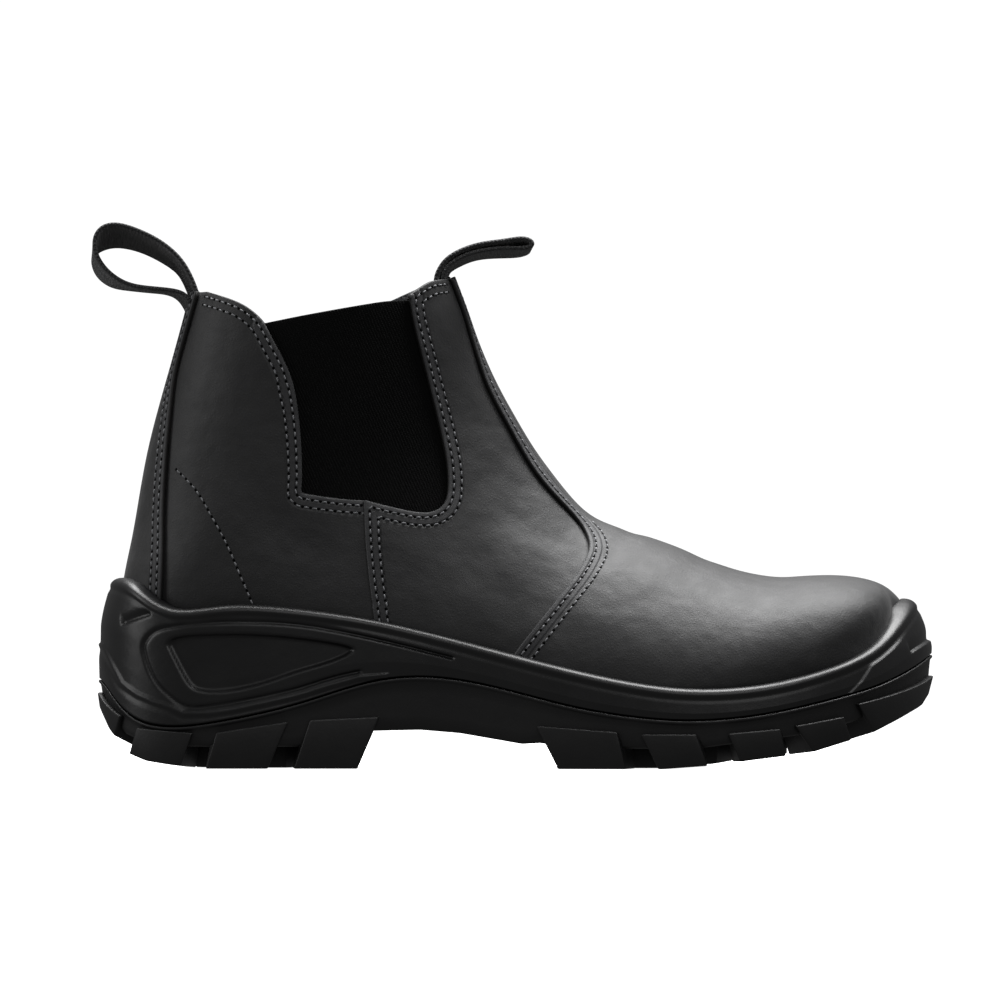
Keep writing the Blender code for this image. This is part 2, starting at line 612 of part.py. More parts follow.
def upper_outline():
    """Side view of the upper's base: from the feather edge to the collar and gore windows."""
    bottom = [(x, z + FEATHER_RISE) for x, z in FLOOR[:1:-1]]
    collar = COLLAR_BACK + gore_window() + COLLAR_FRONT
    return bottom + HEEL_FOOT + collar + [(AHEAD, COLLAR_FRONT[-1][1])]


def skin_piece(name, outline, skin, back, parts, helpers, side=0):
    """A piece of leather or elastic cut from between two forms by its side view outline."""
    made = form(name, skin, parts)
    boolean(made, form(f"{name}_core", back, helpers), "DIFFERENCE")
    boolean(made, prism(f"{name}_edge", outline, helpers, side), "INTERSECT")
    return made


def insole(parts, helpers):
    """Insole: a board that fills the floor of the midsole's cavity."""
    made = form("insole", BASE_SKIN, parts)
    top = [(BEHIND, FLOOR[0][1] + INSOLE_RISE)] + [(x, z + INSOLE_RISE) for x, z in FLOOR]
    slab = prism("insole_slab", top + [(AHEAD, UNDER), (BEHIND, UNDER)], helpers)
    boolean(made, slab, "INTERSECT")
    return made


def strap(name, rows, width, parts):
    """A webbing loop: a ribbon through the rows, given its thickness by a Solidify."""
    path = smooth(rows)
    count = (len(rows) - 1) * STRAP_PER_ROW
    bm = bmesh.new()
    grid = []
    for i in range(count + 1):
        row = Strap(*path(i / STRAP_PER_ROW))
        line = []
        for j in range(STRAP_STEPS + 1):
            share = j / STRAP_STEPS
            bow = row.bow * (1 - (2 * share - 1) ** 2)
            x = row.near_x + (row.far_x - row.near_x) * share + bow
            z = row.near_z + (row.far_z - row.near_z) * share
            line.append(bm.verts.new(to_frame(x, (share - 0.5) * width, z)))
        grid.append(line)
    for one, two in zip(grid, grid[1:]):
        for j in range(STRAP_STEPS):
            bm.faces.new((one[j], two[j], two[j + 1], one[j + 1]))
    mesh = bpy.data.meshes.new(name)
    bm.to_mesh(mesh)
    bm.free()
    made = new_object(name, mesh, parts)
    solid = made.modifiers.new("webbing", "SOLIDIFY")
    solid.thickness = WEBBING * MM
    solid.offset = 0.0
    solid.use_even_offset = True
    return made


def material(name, colour, roughness):
    """A plain finish for a piece."""
    made = bpy.data.materials.new(name)
    made.use_nodes = True
    shader = made.node_tree.nodes["Principled BSDF"]
    shader.inputs["Base Color"].default_value = (*colour, 1.0)
    shader.inputs["Roughness"].default_value = roughness
    return made


def main():
    for old in list(bpy.data.objects):
        bpy.data.objects.remove(old)
    parts = bpy.data.collections.new("side_gore_work_boot")
    helpers = bpy.data.collections.new("cutters")
    for collection in (parts, helpers):
        bpy.context.scene.collection.children.link(collection)

    leather = material("black_leather", (0.030, 0.030, 0.031), 0.5)
    elastic = material("elastic_gore", (0.008, 0.008, 0.008), 0.9)
    webbing = material("webbing", (0.012, 0.012, 0.012), 0.9)
    foam = material("midsole_foam", (0.020, 0.020, 0.021), 0.45)
    tread = material("outsole_compound", (0.016, 0.016, 0.017), 0.55)
    board = material("insole_board", (0.05, 0.05, 0.05), 0.9)

    finishes = [
        (outsole(parts, helpers), tread),
        (midsole(parts, helpers), foam),
        (insole(parts, helpers), board),
        (skin_piece("upper", upper_outline(), BASE_SKIN, LINING, parts, helpers), leather),
        (skin_piece("vamp", vamp_outline(), 0.0, OVERLAY, parts, helpers), leather),
        (skin_piece("backstay", backstay_outline(), 0.0, OVERLAY, parts, helpers), leather),
        (strap("pull_loop_back", BACK_LOOP, BACK_LOOP_WIDTH, parts), webbing),
        (strap("pull_loop_front", FRONT_LOOP, FRONT_LOOP_WIDTH, parts), webbing),
    ]
    gore = gore_window(GAP) + GORE_TOP
    for side, word in ((-1, "outer"), (1, "inner")):
        panel = skin_piece(f"gore_{word}", gore, GORE_SKIN, LINING, parts, helpers, side)
        seam = skin_piece(f"side_seam_{word}", seam_outline(), SEAM_SKIN, OVERLAY, parts, helpers, side)
        finishes += [(panel, elastic), (seam, leather)]
    for piece, finish in finishes:
        piece.data.materials.append(finish)
    for helper in helpers.objects:
        helper.hide_render = True
        helper.display_type = "WIRE"


main()
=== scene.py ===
"""Looks of a right side gore work boot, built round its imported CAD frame.

Lengths are in millimetres unless a name says otherwise. In the tables x runs forward from the
back of the sole, y from the outer side (minus) to the inner side (plus) and z up from the floor.
Leather pieces are sheets on one surface, the last with its leather. A spot on it is a pair:
its place along the SECTIONS table, and its turn round the section, which is 0 on the ridge,
minus 1 or 1 on the low line, minus on the outer side and plus on the inner side.
"""

import json
import logging
import math
from dataclasses import dataclass, field
from enum import Enum
from typing import Callable, NamedTuple, Sequence

import bmesh
import bpy
import numpy as np
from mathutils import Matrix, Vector
from mathutils.geometry import delaunay_2d_cdt
from mathutils.kdtree import KDTree

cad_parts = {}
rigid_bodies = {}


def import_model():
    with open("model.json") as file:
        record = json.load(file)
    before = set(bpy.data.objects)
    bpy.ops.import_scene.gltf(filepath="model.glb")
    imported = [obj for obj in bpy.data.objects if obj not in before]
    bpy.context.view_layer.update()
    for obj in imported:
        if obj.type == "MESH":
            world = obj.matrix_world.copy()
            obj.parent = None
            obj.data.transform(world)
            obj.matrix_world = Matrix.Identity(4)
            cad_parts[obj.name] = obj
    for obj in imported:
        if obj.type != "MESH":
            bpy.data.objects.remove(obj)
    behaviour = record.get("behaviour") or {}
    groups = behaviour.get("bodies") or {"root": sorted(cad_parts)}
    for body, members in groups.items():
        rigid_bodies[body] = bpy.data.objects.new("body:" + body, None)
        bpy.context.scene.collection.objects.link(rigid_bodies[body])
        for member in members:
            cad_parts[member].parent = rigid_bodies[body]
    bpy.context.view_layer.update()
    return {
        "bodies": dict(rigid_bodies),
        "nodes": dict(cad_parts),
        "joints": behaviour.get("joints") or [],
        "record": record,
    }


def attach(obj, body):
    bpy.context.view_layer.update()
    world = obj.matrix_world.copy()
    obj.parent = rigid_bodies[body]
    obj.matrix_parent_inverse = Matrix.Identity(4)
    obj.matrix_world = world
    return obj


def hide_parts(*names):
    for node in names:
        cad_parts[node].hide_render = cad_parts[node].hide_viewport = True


log = logging.getLogger("boot")

MM = 0.001
ORIGIN = np.array([151.87, -2.556, 0.0])

Array = np.ndarray
Outline = Sequence[tuple[float, float]]
Depth = float | Callable[[Array, Array], Array]


class Side(Enum):
    """A side of the boot, by the sign of y."""

    OUTER = -1
    INNER = 1


class Section(NamedTuple):
    """One cut through the last: see the notes on the SECTIONS table."""

    top_x: float
    top_z: float
    low_x: float
    low_z: float
    outer: float
    inner: float
    waist: float
    crown: float
    peak: float
    base: float
    top_y: float
    low_y: float


# One row for each cut through the last, from the toe to above the collar. top is the ridge and
# low the underside, or the back of the heel. outer and inner are half widths, waist is how far
# up the widest place lies, crown and base are how square the ends are, and peak narrows the ridge.
SECTIONS = [
    Section(295.5, 33.0, 262.0, 26.5, 43.0, 42.0, 0.22, 2.30, 0.00, 3.0, 5.5, 3.0),
    Section(298.0, 44.0, 258.0, 25.5, 45.5, 44.0, 0.22, 2.35, 0.00, 3.0, 5.5, 2.6),
    Section(297.3, 54.0, 253.0, 24.6, 47.6, 45.6, 0.22, 2.40, 0.00, 3.0, 5.5, 2.2),
    Section(292.0, 62.5, 247.0, 23.8, 49.7, 47.0, 0.22, 2.45, 0.00, 3.1, 5.5, 1.8),
    Section(283.5, 68.0, 240.0, 23.0, 51.5, 48.0, 0.22, 2.45, 0.02, 3.2, 5.4, 1.3),
    Section(268.0, 70.2, 231.0, 22.2, 53.0, 48.6, 0.22, 2.40, 0.04, 3.3, 5.2, 0.8),
    Section(249.0, 69.8, 221.0, 21.6, 53.8, 48.6, 0.22, 2.30, 0.06, 3.4, 5.0, 0.0),
    Section(231.0, 72.9, 210.0, 21.3, 53.6, 47.6, 0.21, 2.20, 0.09, 3.4, 4.8, -0.8),
    Section(213.0, 80.0, 197.0, 21.5, 52.2, 45.2, 0.20, 2.10, 0.13, 3.4, 4.5, -1.2),
    Section(196.0, 85.9, 182.0, 23.5, 49.6, 41.6, 0.20, 2.05, 0.18, 3.4, 4.0, -1.4),
    Section(182.5, 90.8, 163.0, 28.0, 46.0, 38.0, 0.20, 2.00, 0.22, 3.4, 3.4, -1.4),
    Section(173.5, 98.3, 138.0, 34.0, 42.2, 35.2, 0.22, 2.00, 0.23, 3.3, 2.6, -1.2),
    Section(166.0, 107.6, 108.0, 38.5, 39.2, 34.2, 0.24, 2.00, 0.21, 3.2, 2.0, -0.8),
    Section(159.0, 117.4, 76.0, 40.5, 37.8, 34.6, 0.27, 2.00, 0.17, 3.1, 1.4, -0.4),
    Section(152.5, 128.3, 44.0, 41.0, 37.0, 35.0, 0.30, 2.05, 0.12, 2.8, 0.9, 0.0),
    Section(147.0, 138.3, 17.5, 44.0, 36.2, 35.0, 0.33, 2.10, 0.08, 2.4, 0.5, 0.0),
    Section(142.4, 148.0, 9.0, 61.0, 35.2, 34.4, 0.36, 2.15, 0.05, 2.25, 0.2, 0.0),
    Section(138.6, 157.5, 12.9, 85.0, 34.2, 33.8, 0.39, 2.20, 0.03, 2.15, 0.0, 0.0),
    Section(135.3, 167.0, 18.5, 116.0, 33.8, 33.6, 0.43, 2.20, 0.02, 2.10, 0.0, 0.0),
    Section(131.0, 178.5, 27.6, 150.0, 34.2, 34.2, 0.46, 2.20, 0.02, 2.10, 0.0, 0.0),
    Section(126.5, 191.0, 36.8, 185.0, 35.2, 35.2, 0.48, 2.20, 0.02, 2.10, 0.0, 0.0),
]
LOW_SHARE = 0.4

# Outlines in the side view, as (x, z).
COLLAR_Z_BACK = 174.2
COLLAR_Z_FRONT = 179.3
COLLAR_BACK = [(38.5, 174.0), (44.9, 172.0), (52.2, 169.1), (58.0, 165.0), (61.5, 160.9)]
GORE_BACK = [(61.5, 160.9), (67.3, 150.6), (71.0, 142.7), (73.1, 134.3), (74.6, 122.0),
             (75.2, 110.0), (75.0, 102.0)]
GORE_FOOT = [(75.0, 102.0), (76.6, 100.0), (88.0, 98.4), (97.6, 97.8)]
GORE_FRONT = [(97.6, 97.8), (107.0, 95.5), (117.0, 93.5), (123.6, 94.0), (127.4, 97.4),
              (128.6, 104.0), (127.6, 115.0), (124.2, 130.6), (120.0, 147.6), (116.4, 162.1),
              (115.2, 171.0)]
COLLAR_FRONT = [(115.2, 171.0), (114.6, 172.0), (119.6, 175.4), (123.7, 177.7), (128.6, 178.6)]
GORE_TOP = [(119.6, 170.8), (114.2, 170.4), (107.5, 169.9), (99.4, 168.7), (85.0, 166.3),
            (74.0, 164.4), (64.0, 162.6), (58.4, 161.6)]
SEAM_EDGE = [(102.6, 44.0), (101.4, 53.0), (99.3, 70.0), (98.1, 84.0), (97.6, 97.8)]
VAMP_EDGE = [(147.5, 35.0), (151.0, 40.0), (156.6, 47.6), (170.8, 65.4), (176.7, 73.6),
             (179.4, 79.5), (179.2, 84.5), (174.5, 92.2), (161.5, 106.6), (150.6, 124.7),
             (142.1, 141.6), (135.4, 163.4), (129.8, 178.4)]
BACKSTAY_EDGE = [(23.0, 48.0), (23.9, 74.9), (24.0, 90.8), (24.8, 110.0), (27.0, 136.7),
                 (29.9, 151.7), (36.2, 173.9)]
COUNTER_ROW = [(22.0, 110.4), (27.9, 109.0), (35.8, 101.1), (41.3, 92.4), (46.0, 84.5),
               (50.8, 74.2), (56.8, 60.0)]

# Places on the last, and the turn of the leather's foot edge, which the sole hides.
FOOT_TURN = 0.93
TOE_PLACE = 0.25
LINING_TOE = 0.6
HEEL_PLACE = 14.3
SPINE_FOOT = 15.4
LINING_HEEL = 15.6
RIDGE_START = 6.0
BACK_START = 15.0


class Edge(NamedTuple):
    """One station of the sole's outline: its y on the two sides, its heights and its lean."""

    x: float
    outer: float
    inner: float
    rand: float
    joint: float
    lean: float


# The outline of the sole from the heel to the toe. rand is the height of its top edge, joint
# that of the line between midsole and outsole, and lean how far the wall comes in at its top.
SOLE = [
    Edge(0.6, 0.0, 0.0, 69.2, 32.0, 4.2),
    Edge(3.6, -16.5, 16.5, 68.9, 29.0, 3.9),
    Edge(12.5, -30.5, 30.0, 65.4, 19.0, 2.6),
    Edge(27.5, -38.8, 37.8, 58.2, 15.0, 1.2),
    Edge(48.0, -42.0, 40.4, 59.4, 17.4, 0.5),
    Edge(74.0, -42.0, 38.8, 58.2, 23.4, 0.0),
    Edge(100.0, -41.2, 35.6, 54.4, 31.2, 0.0),
    Edge(125.0, -42.8, 34.0, 48.6, 32.8, 0.0),
    Edge(150.0, -48.0, 36.2, 41.9, 28.2, 0.0),
    Edge(175.0, -54.0, 42.2, 35.6, 22.0, 0.0),
    Edge(200.0, -58.4, 49.6, 30.7, 18.2, 0.0),
    Edge(222.0, -59.7, 53.6, 29.1, 17.5, 0.0),
    Edge(245.0, -57.2, 54.5, 31.0, 20.0, 0.3),
    Edge(267.0, -49.5, 51.0, 36.4, 24.8, 1.0),
    Edge(286.0, -35.5, 41.5, 44.6, 30.4, 2.6),
    Edge(299.5, -16.0, 25.5, 56.0, 37.2, 5.2),
    Edge(305.0, 5.5, 5.5, 61.6, 41.0, 6.0),
]

LEAN_SPAN = 18.0
LEAN_POWER = 1.5

# How far the toe's leather is drawn in where it meets the rim of the sole, by x.
TOE_TUCK = [(262.0, 0.0), (270.0, 1.6), (280.0, 4.0), (288.0, 5.6), (299.0, 5.6)]
TOE_MIDDLE = 5.0

# Heights under the sole by x: the floor side of the lugs, and the plate between them.
GROUND = [(-2, 30), (0, 24), (4.5, 14.3), (11.4, 5.6), (18, 2.8), (26, 1.5), (38, 0), (96, 0),
          (166, 0), (206, 0), (222.4, 1.2), (234, 2.7), (250.8, 4.8), (260.8, 6.2),
          (274.8, 10.5), (283.1, 13.3), (292.4, 18), (301, 22.8), (304.4, 28), (308, 33)]
PLATE = [(-2, 32), (0, 29), (4.5, 20), (11, 12.5), (20, 8.8), (30, 8), (89, 8), (97, 12.6),
         (101, 13.7), (118, 14.1), (132.5, 12.9), (147, 10.4), (155, 9.0), (162, 9.4),
         (170, 7.6), (206, 7.4), (222, 8), (234, 9.5), (250, 11.6), (261, 13), (275, 17),
         (283, 20), (292, 24.5), (301, 29.5), (308, 35)]


class Lug(NamedTuple):
    """A lug of one side, by x at the floor and at the top of its side face."""

    low_start: float
    low_end: float
    top_start: float
    top_end: float
    start_z: float
    end_z: float


LUGS = [
    Lug(1.0, 6.5, 1.2, 9.4, 27.5, 19.0),
    Lug(12.0, 31.0, 15.4, 35.4, 14.7, 12.9),
    Lug(40.1, 62.7, 44.1, 70.2, 13.0, 17.0),
    Lug(72.2, 95.3, 78.1, 103.2, 17.6, 18.8),
    Lug(168.0, 192.7, 160.4, 189.6, 15.6, 13.4),
    Lug(204.4, 222.4, 198.3, 218.1, 12.6, 12.6),
    Lug(234.1, 250.8, 229.8, 248.5, 12.9, 14.6),
    Lug(260.8, 274.8, 254.0, 271.6, 15.7, 18.9),
    Lug(283.1, 303.6, 276.8, 304.4, 23.5, 33.5),
]


class Bar(NamedTuple):
    """A chevron bar of the tread."""

    back: float
    front: float
    sweep: float
    half_width: float
    centre_y: float


BARS = [
    Bar(17.0, 28.0, 4.0, 8.0, 0.0),
    Bar(36.0, 48.0, 5.0, 12.0, 0.0),
    Bar(57.0, 69.0, 5.0, 12.0, 0.0),
    Bar(77.0, 88.0, 5.0, 11.0, -1.0),
    Bar(172.0, 184.0, 6.0, 16.0, -6.0),
    Bar(193.0, 205.0, 6.0, 21.0, -5.0),
    Bar(214.0, 226.0, 6.0, 23.0, -3.0),
    Bar(235.0, 246.0, 6.0, 21.0, 0.0),
    Bar(255.0, 266.0, 6.0, 16.0, 2.0),
]

# The relief of the heel's side, as (x, z).
LEAF = [(25.5, 44.8), (28.6, 47.9), (41.2, 49.1), (57.1, 49.1), (73.0, 47.9), (88.7, 45.6),
        (94.0, 42.6), (84.9, 38.1), (73.0, 34.5), (61.1, 30.5), (49.2, 27.9), (41.2, 27.5),
        (35.8, 28.6), (31.8, 33.0)]
LEAF_GROOVE = [(129.4, 40.3), (117.9, 43.2), (104.8, 46.4), (88.7, 49.9), (73.0, 52.4),
               (57.1, 53.3), (41.2, 53.1), (29.4, 51.9), (21.5, 50.0), (17.8, 46.6),
               (17.2, 42.0), (20.7, 33.0), (25.5, 27.4), (30.5, 23.6), (35.0, 22.2),
               (41.2, 22.6), (49.3, 23.8), (61.1, 26.2), (73.0, 28.9), (84.9, 32.6),
               (96.0, 35.3)]
HEEL_BAND = [(-6.0, 46.5), (2.1, 45.2), (5.7, 38.4), (9.6, 31.3), (15.2, 27.4), (21.5, 24.8),
             (26.5, 23.2), (32.0, 20.6), (41.2, 20.8), (49.3, 22.0), (61.1, 24.4),
             (73.0, 27.1), (84.9, 30.8), (96.0, 33.8), (106.0, 34.6), (106.0, 0.0), (-6.0, 0.0)]
CUP_CREASE = [(28.5, 58.6), (23.7, 57.2), (13.5, 54.0), (8.6, 52.2)]
ABOVE_CREASE = CUP_CREASE + [(7.0, 58.0), (14.0, 66.0), (30.0, 66.0)]
TOE_NOTCH = [(297.8, 42.0), (301.0, 44.0), (307.0, 47.6)]
ABOVE_NOTCH = TOE_NOTCH + [(309.0, 52.0), (303.0, 55.0), (296.0, 50.0)]
TOE_BUMPER = [(287.0, 60.0), (287.0, 47.5), (284.2, 39.0), (279.0, 32.0), (273.0, 26.0),
              (273.0, 0.0), (330.0, 0.0), (330.0, 60.0)]


class Strap(NamedTuple):
    """A place along a pull loop: its outer and inner edge, and the bow of its middle."""

    near_x: float
    near_z: float
    far_x: float
    far_z: float
    bow: float


BACK_LOOP = [
    Strap(35.0, 160.0, 34.6, 159.0, -1.0),
    Strap(34.9, 166.0, 33.8, 163.6, -1.0),
    Strap(34.0, 170.4, 32.2, 167.6, -0.8),
    Strap(31.6, 172.9, 29.4, 171.2, -0.4),
    Strap(27.4, 174.1, 25.0, 173.2, 0.0),
    Strap(21.0, 174.8, 19.0, 173.9, 0.0),
    Strap(13.4, 175.9, 11.2, 174.7, 0.0),
    Strap(7.4, 178.6, 5.0, 175.9, 0.0),
    Strap(2.9, 182.6, 0.4, 179.2, 0.0),
    Strap(0.0, 187.4, -1.5, 183.4, 0.0),
    Strap(-0.7, 192.6, -1.0, 187.0, 0.0),
    Strap(1.6, 197.0, 2.4, 189.2, 0.0),
    Strap(7.4, 198.4, 8.0, 190.0, 0.0),
    Strap(15.6, 196.0, 15.6, 188.4, 0.0),
    Strap(23.6, 191.8, 22.6, 185.2, 0.0),
    Strap(30.0, 186.2, 28.2, 181.6, 0.0),
    Strap(34.2, 179.8, 31.4, 177.8, -0.6),
    Strap(37.0, 172.8, 34.0, 172.4, -1.2),
    Strap(38.2, 166.4, 36.6, 166.4, -1.6),
    Strap(38.8, 160.0, 38.0, 160.0, -1.7),
]
FRONT_LOOP = [
    Strap(126.2, 168.0, 126.2, 168.0, 1.6),
    Strap(123.4, 176.2, 123.4, 175.8, 1.6),
    Strap(124.8, 182.2, 125.0, 180.2, 1.2),
    Strap(129.4, 187.0, 129.8, 184.4, 0.5),
    Strap(138.6, 190.8, 138.6, 187.8, 0.0),
    Strap(148.0, 192.3, 148.0, 189.0, 0.0),
    Strap(155.4, 193.2, 154.8, 189.6, 0.0),
    Strap(158.9, 191.5, 157.4, 188.4, 0.0),
    Strap(156.4, 189.7, 154.6, 187.0, 0.0),
    Strap(149.0, 189.6, 149.0, 186.5, 0.0),
    Strap(139.6, 188.5, 139.6, 185.9, 0.0),
    Strap(132.4, 186.0, 132.6, 183.6, 0.3),
    Strap(127.6, 182.4, 128.0, 180.8, 0.9),
    Strap(126.0, 176.8, 126.2, 176.2, 1.4),
    Strap(128.2, 168.0, 128.2, 168.0, 1.5),
]


class Crease(NamedTuple):
    """A soft trough (plus) or ridge (minus) in the leather, along a line of the side view."""

    start_x: float
    start_z: float
    end_x: float
    end_z: float
    depth: float
    width: float


CREASES = [
    Crease(186.0, 76.0, 196.0, 86.5, 0.5, 4.0),
    Crease(205.0, 62.0, 222.0, 77.0, 0.35, 5.0),
    Crease(238.0, 56.0, 250.0, 70.5, 0.30, 6.0),
    Crease(150.0, 92.0, 168.0, 84.0, 0.45, 5.0),
    Crease(136.0, 74.0, 150.0, 60.0, 0.40, 7.0),
    Crease(60.0, 92.0, 84.0, 76.0, 0.40, 8.0),
    Crease(34.0, 128.0, 52.0, 108.0, 0.35, 7.0),
    Crease(104.0, 84.0, 128.0, 74.0, -0.35, 6.0),
    Crease(176.0, 58.0, 200.0, 44.0, -0.30, 7.0),
]


def to_row(points: Array) -> Array:
    """Points of the tables as points of the row frame, in metres."""
    return (np.asarray(points, float) - ORIGIN) * MM


def unit(vectors: Array) -> Array:
    """The vectors at length one."""
    size = np.linalg.norm(vectors, axis=-1, keepdims=True)
    return vectors / np.maximum(size, 1e-9)


def smoothstep(low: float, high: float, value: Array) -> Array:
    """A soft step from 0 at low to 1 at high."""
    share = np.clip((value - low) / (high - low), 0.0, 1.0)
    return share * share * (3.0 - 2.0 * share)


class Spline:
    """A curve of even curvature through rows of numbers, by row number."""

    def __init__(self, rows: Sequence[Sequence[float]], closed: bool = False) -> None:
        """Fits the curve.

        Args:
            rows: the rows of numbers that it runs through.
            closed: whether it runs on from the last row to the first.
        """
        self.values = np.array(rows, float)
        self.closed = closed
        self.count = len(self.values)
        self.bend = self._bends()

    def _bends(self) -> Array:
        """Second derivatives at the rows.

        Returns:
            One row of second derivatives for each row.
        """
        matrix = np.zeros((self.count, self.count))
        right = np.zeros_like(self.values)
        for i in range(self.count):
            before, after = (i - 1) % self.count, (i + 1) % self.count
            if not self.closed and i in (0, self.count - 1):
                matrix[i, i] = 1.0
                continue
            matrix[i, before] += 1.0
            matrix[i, i] += 4.0
            matrix[i, after] += 1.0
            right[i] = 6.0 * (self.values[before] - 2.0 * self.values[i] + self.values[after])
        return np.linalg.solve(matrix, right)

    def __call__(self, places: Array | float) -> Array:
        """The rows at these places.

        Args:
            places: row numbers, whole or between rows.

        Returns:
            One row of values for each place.
        """
        places = np.atleast_1d(np.asarray(places, float))
        first = np.floor(places).astype(int)
        if not self.closed:
            first = np.clip(first, 0, self.count - 2)
        f = (places - first)[:, None]
        g = 1.0 - f
        a, b = first % self.count, (first + 1) % self.count
        return (g * self.values[a] + f * self.values[b]
                + ((g**3 - g) * self.bend[a] + (f**3 - f) * self.bend[b]) / 6.0)


def run_along(points: Array) -> Array:
    """The way along a polyline to each of its points."""
    return np.concatenate([[0], np.cumsum(np.linalg.norm(np.diff(points, axis=0), axis=1))])


def tree_of(points: Array) -> KDTree:
    """A tree that finds the nearest of these points.

    Args:
        points: the points, in three dimensions.

    Returns:
        The tree, ready for use.
    """
    tree = KDTree(len(points))
    for i, point in enumerate(points):
        tree.insert(point, i)
    tree.balance()
    return tree


def resample(points: Array, step: float) -> Array:
    """A polyline with even steps of about the given length, its ends kept.

    Args:
        points: the polyline.
        step: the length of a step.

    Returns:
        The new polyline.
    """
    points = np.asarray(points, float)
    run = run_along(points)
    count = max(1, int(round(run[-1] / step)))
    at = np.linspace(0, run[-1], count + 1)
    return np.stack([np.interp(at, run, points[:, i]) for i in range(points.shape[1])], axis=1)


def flowing(points: Outline, step: float = 0.8) -> Array:
    """A smooth line through side view points, at even steps.

    Args:
        points: the points that it runs through.
        step: the length of a step.

    Returns:
        The line's points.
    """
    curve = Spline(points)
    fine = curve(np.linspace(0, len(points) - 1, (len(points) - 1) * 24 + 1))
    return resample(fine, step)


def line_distance(points: Array, line: Array, closed: bool = False) -> Array:
    """Distance from each point to a polyline, all in two dimensions.

    Args:
        points: the points to measure from.
        line: the polyline.
        closed: whether its last point runs on to its first.

    Returns:
        One distance for each point.
    """
    nearest = np.full(len(points), 1e9)
    ends = np.roll(line, -1, axis=0) if closed else line[1:]
    for start, end in zip(line, ends):
        along = end - start
        share = np.clip((points - start) @ along / max(along @ along, 1e-12), 0.0, 1.0)
        foot = start + share[:, None] * along
        nearest = np.minimum(nearest, np.linalg.norm(points - foot, axis=1))
    return nearest


def is_inside(points: Array, polygon: Array) -> Array:
    """Whether each point lies inside the polygon.

    Args:
        points: points of the side view.
        polygon: the polygon's corners in order.

    Returns:
        True for each point inside.
    """
    inside = np.zeros(len(points), bool)
    x, y = points[:, 0], points[:, 1]
    for (ax, ay), (bx, by) in zip(polygon, np.roll(polygon, -1, axis=0)):
        if ay == by:
            continue
        crosses = (ay > y) != (by > y)
        inside ^= crosses & (x < (bx - ax) * (y - ay) / (by - ay) + ax)
    return inside


def signed_distance(points: Array, polygon: Array) -> Array:
    """Distance to the polygon's edge, plus inside it and minus outside."""
    away = line_distance(points, polygon, closed=True)
    return np.where(is_inside(points, polygon), away, -away)


